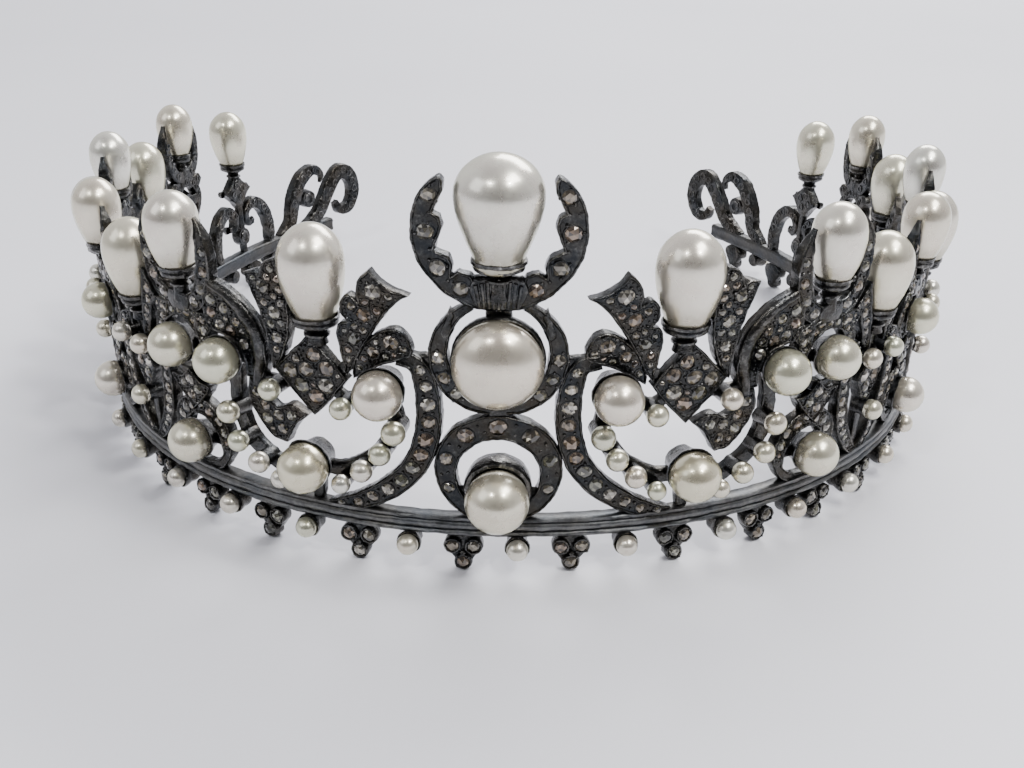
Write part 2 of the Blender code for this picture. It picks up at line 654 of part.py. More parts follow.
def round_pearl(name, length, height, out, radius, look, group, sides=PEARL_SIDES, rings=PEARL_RINGS,
                flatten=1.0):
    """A round or button pearl, facing outwards."""
    work = bmesh.new()
    bmesh.ops.create_uvsphere(work, u_segments=sides, v_segments=rings, radius=radius * MM)
    bmesh.ops.scale(work, verts=work.verts, vec=(1, 1, flatten))
    bmesh.ops.rotate(work, verts=work.verts, matrix=Matrix.Rotation(math.pi / 2, 3, "X"))
    mesh = bpy.data.meshes.new(name)
    work.to_mesh(mesh)
    work.free()
    mesh.shade_smooth()
    pearl = bpy.data.objects.new(name, mesh)
    group.objects.link(pearl)
    pearl.matrix_world = frame_of(length, height, out)
    mesh.materials.append(look)
    return pearl


def both_sides(make, name, length, *rest, **options):
    """The same pearl on the right and on the left."""
    return [make(name + "_right", length, *rest, **options), make(name + "_left", -length, *rest, **options)]


def place_pearls(look, group):
    """All the main pearls: the drops on their cups, and the round ones on their collets."""
    drop, button, low = MIDDLE_DROP, MIDDLE_BUTTON, LOWER_PEARL
    bar_front = BUTTON_BAR_LEVEL + BUTTON_BAR_THICK / 2
    button_out = bar_front + SEAT_GAP + button["radius"] * BUTTON_FLATTEN
    pearls = [
        drop_pearl("middle_drop", 0, drop["bottom"], drop["tall"], drop["radius"], look, group),
        round_pearl("middle_button", 0, button["height"], button_out, button["radius"], look, group,
                    BUTTON_SIDES, BUTTON_RINGS, BUTTON_FLATTEN),
        round_pearl("middle_low_pearl", 0, low["height"], low["out"], low["radius"], look, group),
    ]
    drop = FRONT_DROP
    pearls += both_sides(drop_pearl, "front_drop", drop["station"], drop["bottom"], drop["tall"],
                         drop["radius"], look, group)
    for pearl in ROUND_PEARLS:
        x, y = pearl["place"]
        pearls += both_sides(round_pearl, "front_" + pearl["name"] + "_pearl", x, RAIL_MID + y, pearl["out"],
                             pearl["radius"], look, group)
    for motif in CRESCENT_MOTIFS:
        levels = motif_levels(motif)
        name, station, size = motif["name"], motif["station"], motif["size"]
        radius = MOTIF_PEARL * size
        pearls += both_sides(drop_pearl, name + "_crescent_drop", station, levels["drop"],
                             motif["drop_tall"], motif["drop_radius"], look, group)
        for kind, spot, level in (("_button", levels["mid"], BUTTON_BAR_LEVEL),
                                  ("_low_pearl", levels["low"], LOW_BAR_LEVEL)):
            out = level + BUTTON_BAR_THICK / 2 + SEAT_GAP + radius
            pearls += both_sides(round_pearl, name + kind, *spot, out, radius, look, group)
    for panel in PANELS:
        bottom = RAIL_MID + PANEL_CUP * panel["tall"]
        pearls += both_sides(drop_pearl, panel["name"] + "_panel_drop", panel["station"], bottom,
                             panel["drop_tall"], panel["drop_radius"], look, group)
    pearls += both_sides(drop_pearl, "end_drop", END_STATION, END_DROP["bottom"], END_DROP["tall"],
                         END_DROP["radius"], look, group)
    return pearls


def centre_on_origin(objects):
    """Move everything so that the middle of its outline, seen from above, is at the origin."""
    bpy.context.view_layer.update()
    graph = bpy.context.evaluated_depsgraph_get()
    ends = []
    for item in objects:
        mesh = item.evaluated_get(graph).data
        ends += [item.matrix_world @ vert.co for vert in mesh.vertices]
    middle = (min(point.y for point in ends) + max(point.y for point in ends)) / 2
    for item in objects:
        item.matrix_world = Matrix.Translation((0, -middle, 0)) @ item.matrix_world


def main():
    clear_scene()
    parts = new_collection("tiara")
    drawing_group = new_collection("drawing")
    fringe_group = new_collection("fringe")
    silver = material("blackened_silver", SILVER, 1.0, 0.35)
    pearl = material("pearl", PEARL, 0.0, 0.22)
    drawing = Drawing(drawing_group)
    rail = draw_rail(drawing)
    drawing_group.objects.unlink(rail)
    parts.objects.link(rail)
    draw_fringe(Drawing(fringe_group))
    draw_middle(drawing)
    draw_front_panel(drawing)
    for motif in CRESCENT_MOTIFS:
        draw_crescent_motif(drawing, motif)
    for panel in PANELS:
        draw_panel(drawing, panel)
    draw_end(drawing)
    mesh = bend_mesh(join_drawing(rail, drawing_group, fringe_group))
    frame = bpy.data.objects.new("frame", mesh)
    mesh.materials.clear()
    mesh.materials.append(silver)
    parts.objects.link(frame)
    bpy.data.objects.remove(rail, do_unlink=True)
    pearls = place_pearls(pearl, parts)
    centre_on_origin([frame] + pearls)


main()
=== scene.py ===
"""The tiara dressed for a picture: cast bands with sunk stones, pearls in cups, and a studio."""
import math
import random

import bmesh
import bpy
import numpy as np
from mathutils import Matrix, Vector


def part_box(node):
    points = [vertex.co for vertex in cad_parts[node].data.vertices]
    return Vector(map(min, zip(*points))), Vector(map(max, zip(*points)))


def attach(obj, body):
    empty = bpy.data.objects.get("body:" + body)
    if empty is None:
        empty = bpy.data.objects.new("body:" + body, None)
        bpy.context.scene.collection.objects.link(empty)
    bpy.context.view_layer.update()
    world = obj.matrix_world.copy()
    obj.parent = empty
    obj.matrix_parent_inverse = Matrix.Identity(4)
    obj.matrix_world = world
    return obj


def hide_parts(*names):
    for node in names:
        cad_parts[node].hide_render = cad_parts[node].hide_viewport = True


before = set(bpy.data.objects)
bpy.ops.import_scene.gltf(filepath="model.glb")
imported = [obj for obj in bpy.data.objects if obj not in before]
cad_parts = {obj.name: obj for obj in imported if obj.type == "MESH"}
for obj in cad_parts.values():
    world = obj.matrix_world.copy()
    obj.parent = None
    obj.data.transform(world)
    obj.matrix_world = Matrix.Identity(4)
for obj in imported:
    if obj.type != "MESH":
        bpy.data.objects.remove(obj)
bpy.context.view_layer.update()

MM = 0.001
WELD = 0.0000005
TINY = 1e-9
FAR = 99
SHARPEST_TURN = 0.55

# The plan of the rail, as the solids have it: lengths and bend radii in mm, and the outward flare.
PLAN_BEND = ((0, 79), (45, 67), (90, 66), (135, 133), (200, 133))
FLARE = 0.06
RAIL_MID = 7.2
RAIL_END = 186

# The fringe: pearl cups and trefoils in turn, from a cup a little to the right of the middle.
FRINGE_START = 2.7
FRINGE_END = 183
FRINGE_PITCH = ((0, 7.6), (24, 7.6), (38, 6.1), (72, 6.2), (95, 7.4), (200, 7.4))
FRINGE_PEARL = 1.55
FRINGE_HEIGHT = 4.3
FRINGE_OUT = 2.2

BUTTON_HEIGHT = 33.9
BUTTON_OUT = 3.82
SIDES = (("_right", 1), ("_left", -1))


def plan_table():
    """Lengths, places and headings along half of the rail, from its middle."""
    lengths = np.linspace(0, PLAN_BEND[-1][0], 801)
    starts, radii = zip(*PLAN_BEND)

    def summed(values):
        return np.concatenate([[0], np.cumsum((values[1:] + values[:-1]) / 2 * lengths[1])])

    heading = summed(np.interp(lengths, starts, [1 / radius for radius in radii]))
    return lengths, summed(np.cos(heading)), summed(np.sin(heading)), heading


PLAN = plan_table()


def bend(points):
    """Points of the flat drawing (along, height, outwards, in mm) on the bent tiara, in metres."""
    points = np.asarray(points, float).reshape(-1, 3)
    lengths, xs, ys, headings = PLAN
    side = np.where(points[:, 0] < 0, -1, 1)
    along = np.abs(points[:, 0])
    heading = np.interp(along, lengths, headings)
    out = points[:, 2] + FLARE * np.maximum(points[:, 1] - RAIL_MID, 0)
    x = side * (np.interp(along, lengths, xs) + np.sin(heading) * out)
    y = np.interp(along, lengths, ys) - np.cos(heading) * out + SHIFT
    return np.stack([x * MM, y * MM, points[:, 1] * MM], 1)


def middle_shift():
    """How far back the solids were moved, read from the middle button."""
    low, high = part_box("middle_button")
    centre = (low + high) / 2 / MM
    return centre.y - (-BUTTON_OUT - FLARE * (centre.z - RAIL_MID))


SHIFT = middle_shift()


def moved(points, station, height, size=1, side=1):
    """A small drawing set at a place, made smaller or mirrored. Marks of sharp corners are kept."""
    return [(station + side * x * size, height + y * size) + tuple(rest) for x, y, *rest in points]


def up(points):
    """A drawing whose heights are given over the rail's middle."""
    return moved(points, 0, RAIL_MID)


def spread(points, step=0.5, closed=False):
    """A smooth line through a few points, with a point about every step."""
    line = [np.array(point[:2], float) for point in points]
    if closed:
        line = [line[-1]] + line + [line[0], line[1]]
    else:
        line = [2 * line[0] - line[1]] + line + [2 * line[-1] - line[-2]]
    result = []
    for index in range(1, len(line) - 2):
        p0, p1, p2, p3 = line[index - 1:index + 3]
        count = max(1, int(round(np.linalg.norm(p2 - p1) / step)))
        for t in np.arange(count) / count:
            result.append(0.5 * (2 * p1 + (p2 - p0) * t + (2 * p0 - 5 * p1 + 4 * p2 - p3) * t ** 2
                                 + (3 * p1 - p0 - 3 * p2 + p3) * t ** 3))
    if not closed:
        result.append(line[-2])
    return np.array(result)


def outline(points, step=0.45):
    """A closed outline. A point with a third value is a sharp corner; the rest is smooth."""
    corners = [index for index, point in enumerate(points) if len(point) > 2]
    if not corners:
        return spread(points, step, True)
    turned = list(points[corners[0]:]) + list(points[:corners[0]]) + [points[corners[0]]]
    marks = [index for index, point in enumerate(turned) if len(point) > 2]
    result = []
    for start, end in zip(marks, marks[1:]):
        result += list(spread(turned[start:end + 1], step)[:-1])
    return np.array(result)


def arc(centre, radius, start, end, step=0.45, tall=None):
    """Points on an arc between two angles in degrees."""
    tall = tall or radius
    count = max(6, int(abs(math.radians(end - start)) * radius / step))
    angles = np.radians(np.linspace(start, end, count + 1))
    return np.stack([centre[0] + radius * np.cos(angles), centre[1] + tall * np.sin(angles)], 1)


def run_of(line):
    """How far along a line each of its points lies."""
    return np.concatenate([[0], np.cumsum(np.linalg.norm(np.diff(line, axis=0), axis=1))])


def half_widths(line, widths):
    """Half the width at each point of a line, from a few widths at even steps."""
    lengths = run_of(line)
    return np.interp(lengths, np.linspace(0, lengths[-1], len(widths)), widths) / 2


def side_normals(line, closed):
    """The left-hand normals of a line, and how much each bends (for a mitre)."""
    before = np.roll(line, 1, 0)
    after = np.roll(line, -1, 0)
    if not closed:
        before[0], after[-1] = line[0], line[-1]
    one = line - before
    two = after - line
    for part in (one, two):
        length = np.linalg.norm(part, axis=1, keepdims=True)
        part /= np.where(length < TINY, 1, length)
    run = one + two
    run /= np.maximum(np.linalg.norm(run, axis=1, keepdims=True), TINY)
    ahead = np.where(np.abs(two).sum(1)[:, None] > 0, two, one)
    turn = np.maximum(np.einsum("ij,ij->i", run, ahead), SHARPEST_TURN)
    return np.stack([-run[:, 1], run[:, 0]], 1), turn


def turns(count):
    """The angles of even steps round a full turn."""
    return [2 * math.pi * index / count for index in range(count)]


def ring_faces(near, far, count):
    """The faces between two rings of points, from the number of each ring's first point."""
    pairs = [(index, (index + 1) % count) for index in range(count)]
    return [(near + index, near + after, far + after, far + index) for index, after in pairs]


class Batch:
    """Faces gathered for one piece in the flat drawing, with a wear value at each vertex."""

    def __init__(self):
        self.verts = []
        self.faces = []
        self.wear = []
        # For a stone's faces: its tone, and the painted glints and shade of each facet.
        self.tones = []

    def loops(self, rings, wear, closed=False, inward=False):
        """Skins a row of rings. The wear is for the points of a ring, or inwards for its rings."""
        base, count, rows = len(self.verts), len(rings[0]), len(rings)
        for row, ring in enumerate(rings):
            self.verts += [tuple(point) for point in ring]
            self.wear += [wear[row]] * count if inward else list(wear)
        for row in range(rows if closed else rows - 1):
            self.faces += ring_faces(base + row * count, base + (row + 1) % rows * count, count)
        if not closed:
            first = tuple(range(base, base + count))
            last = tuple(index + (rows - 1) * count for index in first)
            self.faces += [first[::-1], last] if inward else [first, last[::-1]]

    def add(self, verts, faces, wear):
        """Takes in a small form of one wear."""
        base = len(self.verts)
        self.verts += verts
        self.wear += [wear] * len(verts)
        self.faces += [tuple(base + index for index in face) for face in faces]


# Edges of castings from the back to the front: distance in, level outwards, and wear. RIM stands
# round a sunk field, PLAIN is rounded over, and RIB is a rounded rib.
RIM = (
    (0.22, -1, 0.1), (0, -0.78, 0.3), (0, 0.66, 0.35), (0.06, 0.88, 0.8), (0.18, 0.98, 0.9),
    (0.3, 0.93, 0.6), (0.42, 0.74, 0.12),
)
PLAIN = ((0.2, -0.8, 0.1), (0, -0.6, 0.3), (0, 0.35, 0.35), (0.12, 0.62, 0.7), (0.4, 0.74, 0.5))
RIB = (
    (0.3, -0.9, 0.1), (0, -0.5, 0.3), (0, 0.25, 0.5), (0.18, 0.62, 0.7), (0.55, 0.9, 0.6),
    (0.95, 1, 0.5),
)
FULL_RIM = 0.9
THINNEST = 0.35
FIELD = 0.72


def band(batch, line, widths, rim=RIM, level=0, closed=False):
    """A cast band along a line: two rims with a sunk channel between them, thinner where narrow."""
    line = np.asarray(line, float)
    normal, turn = side_normals(line, closed)
    rings = []
    for point, side, wide, bend_by in zip(line, normal, half_widths(line, widths), turn):
        scale = min(1, wide / FULL_RIM)
        thin = max(THINNEST, scale)
        ring = []
        for way, rows in ((1, rim), (-1, rim[::-1])):
            for inset, out, wear in rows:
                reach = max(wide - inset * scale, 0.01) / bend_by
                ring.append((*(point + side * reach * way), level + out * thin))
        rings.append(ring)
    wear = [row[2] for row in rim]
    batch.loops(rings, wear + wear[::-1], closed)


def inner_reach(line, normal):
    """Half the width of a shape at each outline point, looking straight in."""
    start = line[:, None, :] + normal[:, None, :] * MM
    a = line[None, :, :]
    edge = np.roll(line, -1, 0)[None, :, :] - a
    cross = normal[:, None, 0] * edge[..., 1] - normal[:, None, 1] * edge[..., 0]
    safe = np.where(np.abs(cross) < TINY, TINY, cross)
    gap = a - start
    t = (gap[..., 0] * edge[..., 1] - gap[..., 1] * edge[..., 0]) / safe
    u = (gap[..., 0] * normal[:, None, 1] - gap[..., 1] * normal[:, None, 0]) / safe
    hit = (t > 0.01) & (u >= 0) & (u <= 1)
    return np.where(hit, t, FAR).min(1) / 2


def plate(batch, points, rim=RIM, level=0, step=0.45):
    """A cast plate with a raised rim round a sunk field."""
    line = outline(points, step)
    area = np.sum(line[:, 0] * np.roll(line[:, 1], -1) - np.roll(line[:, 0], -1) * line[:, 1])
    if area < 0:
        line = line[::-1]
    normal, turn = side_normals(line, True)
    room = np.minimum(1, inner_reach(line, normal) * 0.8 / 0.55)
    rings = []
    for inset, out, wear in rim:
        ring = line + normal * (inset / turn * room)[:, None]
        rings.append(np.column_stack([ring, np.full(len(ring), level + out)]))
    batch.loops(rings, [row[2] for row in rim], inward=True)


def lathe(batch, centre, profile, sides=20, upright=False):
    """A turned piece about an axis outwards or upright. A profile row is radius, level and wear."""
    x, y = centre
    rings = []
    for angle in turns(sides):
        c, s = math.cos(angle), math.sin(angle)
        if upright:
            rings.append([(x + r * c, level, r * s) for r, level, wear in profile])
        else:
            rings.append([(x + r * c, y + r * s, level) for r, level, wear in profile])
    batch.loops(rings, [row[2] for row in profile], closed=True)


def rod(batch, start, end, radius, sides=10, wear=0.4):
    """A round rod between two points of the drawing."""
    start, end = Vector(start), Vector(end)
    run = (end - start).normalized()
    side = run.orthogonal().normalized()
    other = run.cross(side)
    reach = [(side * math.cos(angle) + other * math.sin(angle)) * radius for angle in turns(sides)]
    batch.loops([[tuple(at + step) for step in reach] for at in (start, end)], [wear] * sides)


DICE = random.Random(7)


def rose(batch, centre, level, radius):
    """A rose-cut stone: a flat back, and a dome of four and twenty facets."""
    turn = DICE.uniform(0, math.pi)
    lean = (DICE.uniform(-0.12, 0.12), DICE.uniform(-0.12, 0.12))
    verts = []
    for share, high, count in ((1, -0.25, 12), (1, 0.06, 12), (0.62, 0.36, 6), (0, 0.52, 1)):
        for step in turns(count):
            angle = turn + step
            dx, dy = share * radius * math.cos(angle), share * radius * math.sin(angle)
            rise = high * radius + dx * lean[0] + dy * lean[1]
            verts.append((centre[0] + dx, centre[1] + dy, level + rise))
    faces = ring_faces(0, 12, 12)
    for index in range(6):
        a, b, c = 12 + 2 * index, 13 + 2 * index, 12 + (2 * index + 2) % 12
        m, n = 24 + index, 24 + (index + 1) % 6
        faces += [(a, b, m), (b, n, m), (b, c, n), (m, n, 30)]
    batch.add(verts, faces, 0)
    tone = DICE.random()
    # Each face keeps its stone's tone and a random brightness, the painted glints and shade of its
    # facets.
    batch.tones += [(tone, DICE.random())] * 12 + [(tone, DICE.random()) for face in range(24)]


def grain(batch, centre, level, radius=0.26, wear=0.8):
    """A small bead of metal raised beside a stone."""
    verts = []
    for share, high in ((1, -0.4), (1, 0.1), (0.7, 0.7)):
        for index in range(6):
            angle = math.pi * index / 3 + share
            verts.append((centre[0] + share * radius * math.cos(angle),
                          centre[1] + share * radius * math.sin(angle), level + high * radius))
    verts.append((centre[0], centre[1], level + radius))
    faces = ring_faces(0, 6, 6) + ring_faces(6, 12, 6)
    faces += [(12 + index, 12 + (index + 1) % 6, 18) for index in range(6)]
    batch.add(verts, faces, wear)


def collar(batch, centre, radius, level):
    """The ring that a stone is sunk in, kept dark with little wear: painted shade round the stone's
    edge.
    """
    # Little wear keeps the ring darkest: painted shade round the stone.
    lathe(batch, centre, [
        (radius - 0.08, level - 0.15, 0), (radius - 0.02, level + 0.1, 0.1),
        (radius + 0.14, level + 0.12, 0.15), (radius + 0.24, level - 0.05, 0)], 12)


def set_stone(zone, place, size, level, share):
    """A stone, a little smaller or larger than its setting, with its collar and open back."""
    rose(zone.stones, place, level, size * share)
    collar(zone.metal, place, size, level)
    eyelet(zone.metal, place, size)


def stone_row(zone, line, count, sizes, start=0, end=1):
    """Stones at even steps along a band, with grains between them."""
    lengths = run_of(line)
    normal, turn = side_normals(line, False)

    def at(share, values):
        return np.array([np.interp(share * lengths[-1], lengths, row) for row in values.T])

    for index in range(count):
        part = index / (count - 1)
        share = start + (end - start) * part
        size = np.interp(part, np.linspace(0, 1, len(sizes)), sizes)
        place, side = at(share, line), at(share, normal)
        set_stone(zone, place, size, FIELD, DICE.uniform(0.92, 1.05))
        if index < count - 1:
            middle = at(share + (end - start) / (count - 1) / 2, line)
            for way in (-0.62, 0.62):
                place = middle + side * way * size + DICE.uniform(-0.06, 0.06)
                grain(zone.metal, place, FIELD + 0.08, DICE.uniform(0.2, 0.3))


def seat(zone, centre, radius, around=4):
    """A single stone with its grains."""
    rose(zone.stones, centre, FIELD, radius)
    collar(zone.metal, centre, radius, FIELD)
    turn = DICE.uniform(0, 1.5)
    reach = radius + 0.2
    for step in turns(around):
        x, y = reach * math.cos(turn + step), reach * math.sin(turn + step)
        grain(zone.metal, (centre[0] + x, centre[1] + y), FIELD + 0.06, DICE.uniform(0.2, 0.3))


def eyelet(batch, centre, radius):
    """The open back of a stone's setting: a thin rim round a dark disc, painted shade in place of
    the hole.
    """
    # The middle disc has no wear, the darkest colour: painted shade where the hole is.
    lathe(batch, centre, [
        (0, -1.03, 0), (radius * 0.62, -1.04, 0), (radius * 0.72, -1.14, 0.8),
        (radius * 0.95, -1.14, 0.9), (radius * 1.06, -0.98, 0.5), (radius * 0.9, -0.9, 0.2),
        (0, -0.9, 0)], 8)


def clearance(spots, line):
    """How far each spot lies inside a closed outline. It is negative outside."""
    start, end = line[None], np.roll(line, -1, 0)[None]
    run, gap = end - start, spots[:, None] - start
    share = np.clip((gap * run).sum(2) / np.maximum((run ** 2).sum(2), TINY), 0, 1)
    away = np.linalg.norm(gap - run * share[..., None], axis=2).min(1)
    rise = np.where(np.abs(run[..., 1]) < TINY, TINY, run[..., 1])
    spans = (start[..., 1] > spots[:, None, 1]) != (end[..., 1] > spots[:, None, 1])
    hits = spans & (gap[..., 0] < run[..., 0] * gap[..., 1] / rise)
    return np.where(hits.sum(1) % 2 == 1, away, -away)


def band_outline(line, widths):
    """The closed outline of a band along a line."""
    normal, turn = side_normals(line, False)
    half = half_widths(line, widths)[:, None]
    return np.concatenate([line + normal * half, (line - normal * half)[::-1]])


SPACING = 0.3
RASTER = 0.2


def pave(zone, line, sizes, edge, level=FIELD, taken=()):
    """Stones set close together over a sunk field, the largest first, with grains in the gaps."""
    low, high = line.min(0), line.max(0)
    xs, ys = np.meshgrid(np.arange(low[0], high[0], RASTER), np.arange(low[1], high[1], RASTER))
    spots = np.stack([xs.ravel(), ys.ravel()], 1)
    inside = clearance(spots, line)
    spots, inside = spots[inside > 0.3], inside[inside > 0.3]
    free = np.full(len(spots), 3)
    for x, y, radius in taken:
        free = np.minimum(free, np.hypot(spots[:, 0] - x, spots[:, 1] - y) - radius)

    def best(from_edge, from_others, pull):
        """The free spot that lies closest to the edge and to what is set, or None."""
        waste = np.where((inside >= from_edge) & (free >= from_others), free + inside * pull, FAR)
        return spots[int(waste.argmin())] if len(waste) and waste.min() < FAR - 1 else None

    for radius in sizes:
        while (place := best(radius + edge, radius + SPACING, 0.6)) is not None:
            set_stone(zone, place, radius, level, DICE.uniform(0.94, 1.04))
            free = np.minimum(free, np.hypot(*(spots - place).T) - radius)
    while (place := best(edge - 0.05, 0.26, 0.3)) is not None:
        grain(zone.metal, place, level + 0.02, DICE.uniform(0.16, 0.26), DICE.uniform(0.4, 1))
        free = np.minimum(free, np.hypot(*(spots - place).T) - 0.34)


def paved_plate(zone, points, sizes, edge=0.5, level=0, taken=()):
    """A cast plate with its field full of stones."""
    plate(zone.metal, points, level=level)
    pave(zone, outline(points), sizes, edge, level + FIELD, taken)


def paved_band(zone, points, widths, sizes, edge=0.48):
    """A cast band with its channel full of stones."""
    line = spread(points, 0.42)
    band(zone.metal, line, widths)
    pave(zone, band_outline(line, widths), sizes, edge)


# A dish's rows: radius against its rim, height over the pearl's foot, and wear.
DISH = (
    (0, -0.35, 0.1), (0.7, -0.3, 0.2), (0.9, 0.3, 0.4), (0.98, 0.85, 0.9), (1.06, 0.8, 1),
    (1.07, 0.4, 0.8), (0.96, 0.1, 0.2), (1, -0.2, 0.9), (0.97, -0.5, 0.8), (0.8, -0.8, 0.2),
    (0.52, -1.2, 0.3), (0.44, -1.6, 0.3), (0.58, -1.85, 0.9), (0.58, -2.15, 0.9), (0.42, -2.4, 0.3),
)
# A holder's rows: radius against the pearl's, level against its front (None at the back), and wear.
COLLET = (
    (0, None, 0.1), (0.62, None, 0.2), (0.74, -1.2, 0.4), (0.93, -0.3, 0.6), (0.97, 0, 0.9),
    (0.93, 0.1, 0.8), (0.86, -0.15, 0.2), (0, -0.5, 0.1),
)
TUBE = (
    (0, None, 0.1), (0.8, None, 0.3), (0.8, -0.3, 0.4), (0.9, -0.1, 0.9), (0.9, 0, 1),
    (0.72, -0.1, 0.6), (0.6, -0.5, 0.1), (0, -0.6, 0.1),
)


def dish(batch, station, bottom, radius, drop=3.4, share=0.66):
    """A flared dish with a double ridge on a waisted stem, under a drop pearl."""
    foot = ((0.5, -drop, 0.3), (0, -drop, 0.1))
    profile = [(radius * share * wide, bottom + high, wear) for wide, high, wear in DISH + foot]
    lathe(batch, (station, 0), profile, 28, upright=True)


def holder(batch, centre, front, radius, back, rows, sides):
    """A turned seat from its back to its front."""
    lathe(batch, centre, [(radius * wide, back if level is None else front + level, wear)
                          for wide, level, wear in rows], sides)


def collet(batch, centre, out, radius):
    """The round seat behind a large pearl."""
    holder(batch, centre, out - radius * 0.42, radius, -0.9, COLLET, 28)


def tube(batch, centre, out, radius):
    """The tube that carries a small pearl."""
    holder(batch, centre, out - radius * 0.3, radius, -0.8, TUBE, 16)


def uneven(points):
    """Small swells all over, so that no cast edge is quite true."""
    x, y, z = points.T
    swell = np.sin([2.1 * y + 1.3 * z + 0.7 * x, 1.9 * x - 1.1 * z, 1.7 * x + 2.3 * y])
    ripple = np.sin([5.3 * y + 3.1 * x, 4.7 * x + 2.9 * y, 6.1 * x - 4.3 * y])
    return points + 0.04 * swell.T + 0.03 * ripple.T


def write(mesh, name, domain, values):
    """Keeps one value for each point or face of a mesh, for its look."""
    attribute = mesh.attributes.new(name, "FLOAT", domain)
    attribute.data.foreach_set("value", np.array(values, np.float32))


def mend(mesh, split):
    """Welds the seams, splits faces of many sides if asked, and turns all faces outwards."""
    work = bmesh.new()
    work.from_mesh(mesh)
    bmesh.ops.remove_doubles(work, verts=work.verts, dist=WELD)
    if split:
        bmesh.ops.triangulate(work, faces=[face for face in work.faces if len(face.verts) > 4])
    bmesh.ops.recalc_face_normals(work, faces=work.faces)
    work.to_mesh(mesh)
    work.free()


def place_object(name, data):
    """Puts a mesh, light or camera in the scene."""
    piece = bpy.data.objects.new(name, data)
    bpy.context.scene.collection.objects.link(piece)
    return piece


def finish_mesh(batch, name, look, mirror=False, flat=False):
    """Bends a batch to the plan and makes it a piece that rides on the frame."""
    points = np.array(batch.verts, float) * (-1 if mirror else 1, 1, 1)
    faces = [face[::-1] for face in batch.faces] if mirror else batch.faces
    mesh = bpy.data.meshes.new(name)
    mesh.from_pydata([tuple(point) for point in bend(uneven(points))], [], faces)
    write(mesh, "wear", "POINT", batch.wear)
    # A stone's tone, and the painted glints and shade of its facets, go with each face.
    if batch.tones:
        for kind, values in zip(("tone", "painted_facet_light"), zip(*batch.tones)):
            write(mesh, kind, "FACE", values)
    if not flat:
        mend(mesh, True)
        mesh.shade_smooth()
        mesh.set_sharp_from_angle(angle=math.radians(42))
    mesh.materials.append(look)
    piece = place_object(name, mesh)
    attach(piece, "root")
    return piece


class Nodes:
    """A short way to write the nodes that lead to a shader."""

    def __init__(self, tree, shader="Principled BSDF"):
        self.tree = tree
        self.shader = tree.nodes[shader]

    def new(self, kind, inputs=None, **settings):
        node = self.tree.nodes.new("ShaderNode" + kind)
        for key, value in settings.items():
            setattr(node, key, value)
        for key, value in (inputs or {}).items():
            self.put(node, key, value)
        return node

    def put(self, node, key, value):
        if isinstance(value, bpy.types.NodeSocket):
            self.tree.links.new(value, node.inputs[key])
        else:
            node.inputs[key].default_value = value

    def noise(self, scale, detail=4):
        place = self.new("TexCoord").outputs["Object"]
        return self.new("TexNoise", {"Vector": place, "Scale": scale, "Detail": detail,
                                     "Roughness": 0.55}).outputs["Fac"]

    def math(self, how, one, two=0, clamp=False):
        return self.new("Math", {0: one, 1: two}, operation=how, use_clamp=clamp).outputs[0]

    def ramp(self, value, stops):
        node = self.new("ValToRGB", {"Fac": value})
        ramp = node.color_ramp
        while len(ramp.elements) < len(stops):
            ramp.elements.new(0.5)
        for element, (place, colour) in zip(ramp.elements, stops):
            element.position = place
            element.color = (*colour, 1)
        return node.outputs["Color"]

    def scaled(self, value, gain, start=0):
        return self.math("ADD", start, self.math("MULTIPLY", value, gain))

    def mix(self, share, one, two, blend="MIX"):
        node = self.new("Mix", data_type="RGBA", blend_type=blend)
        for place, value in ((0, share), (6, one), (7, two)):
            self.put(node, place, value)
        return node.outputs[2]

    def attribute(self, name):
        return self.new("Attribute", attribute_name=name).outputs["Fac"]

    def bump(self, height, distance, strength=1):
        inputs = {"Height": height, "Distance": distance, "Strength": strength}
        return self.new("Bump", inputs).outputs[0]

    def set(self, **values):
        for key, value in values.items():
            self.put(self.shader, key.replace("_", " "), value)


def new_look(name):
    """A new material and its nodes."""
    look = bpy.data.materials.new(name)
    look.use_nodes = True
    return look, Nodes(look.node_tree)


def metal_look(name, scales, wearing, colours, tinted, tints, rough, relief):
    """Blackened silver: dark oxide in the hollows, lighter worn metal on the rims."""
    look, n = new_look(name)
    fine, coarse, broad = (n.noise(scale, detail) for scale, detail in zip(scales, (5, 4, 3)))
    speck = n.math("ADD", n.math("SUBTRACT", fine, 0.5), n.math("SUBTRACT", coarse, 0.5))
    worn = n.math("ADD", n.math("MULTIPLY", n.attribute("wear"), wearing[0]),
                  n.math("MULTIPLY", speck, wearing[1]), clamp=True)
    colour = n.mix(tinted, n.ramp(worn, colours), n.ramp(broad, tints))
    height = n.math("ADD", n.math("MULTIPLY", fine, relief[0]), coarse)
    n.set(Base_Color=colour, Metallic=0.94, Roughness=n.scaled(coarse, *rough),
          Normal=n.bump(height, *relief[1:]))
    return look


def stone_look():
    """Rose-cut stones on foil: grey to champagne and brown, with painted glints and shade on their
    facets.
    """
    look, n = new_look("rose_cut_stone")
    colour = n.ramp(n.attribute("tone"), (
        (0, (0.12, 0.12, 0.095)), (0.3, (0.34, 0.3, 0.22)), (0.5, (0.3, 0.21, 0.145)),
        (0.75, (0.24, 0.24, 0.175)), (1, (0.64, 0.6, 0.52))))
    # Painted glints and shade: each facet's random brightness, from near black to white, multiplies
    # the stone's colour.
    shade = n.ramp(n.attribute("painted_facet_light"), (
        (0, (0.05, 0.05, 0.05)), (0.4, (0.28, 0.27, 0.26)), (0.75, (0.72, 0.71, 0.7)),
        (1, (1, 1, 1))))
    n.set(Base_Color=n.mix(1, colour, shade, "MULTIPLY"), Metallic=0.6, IOR=2.2,
          Roughness=n.scaled(n.noise(1500, 3), 0.12, 0.04), Coat_Weight=0.7, Coat_Roughness=0.03)
    return look


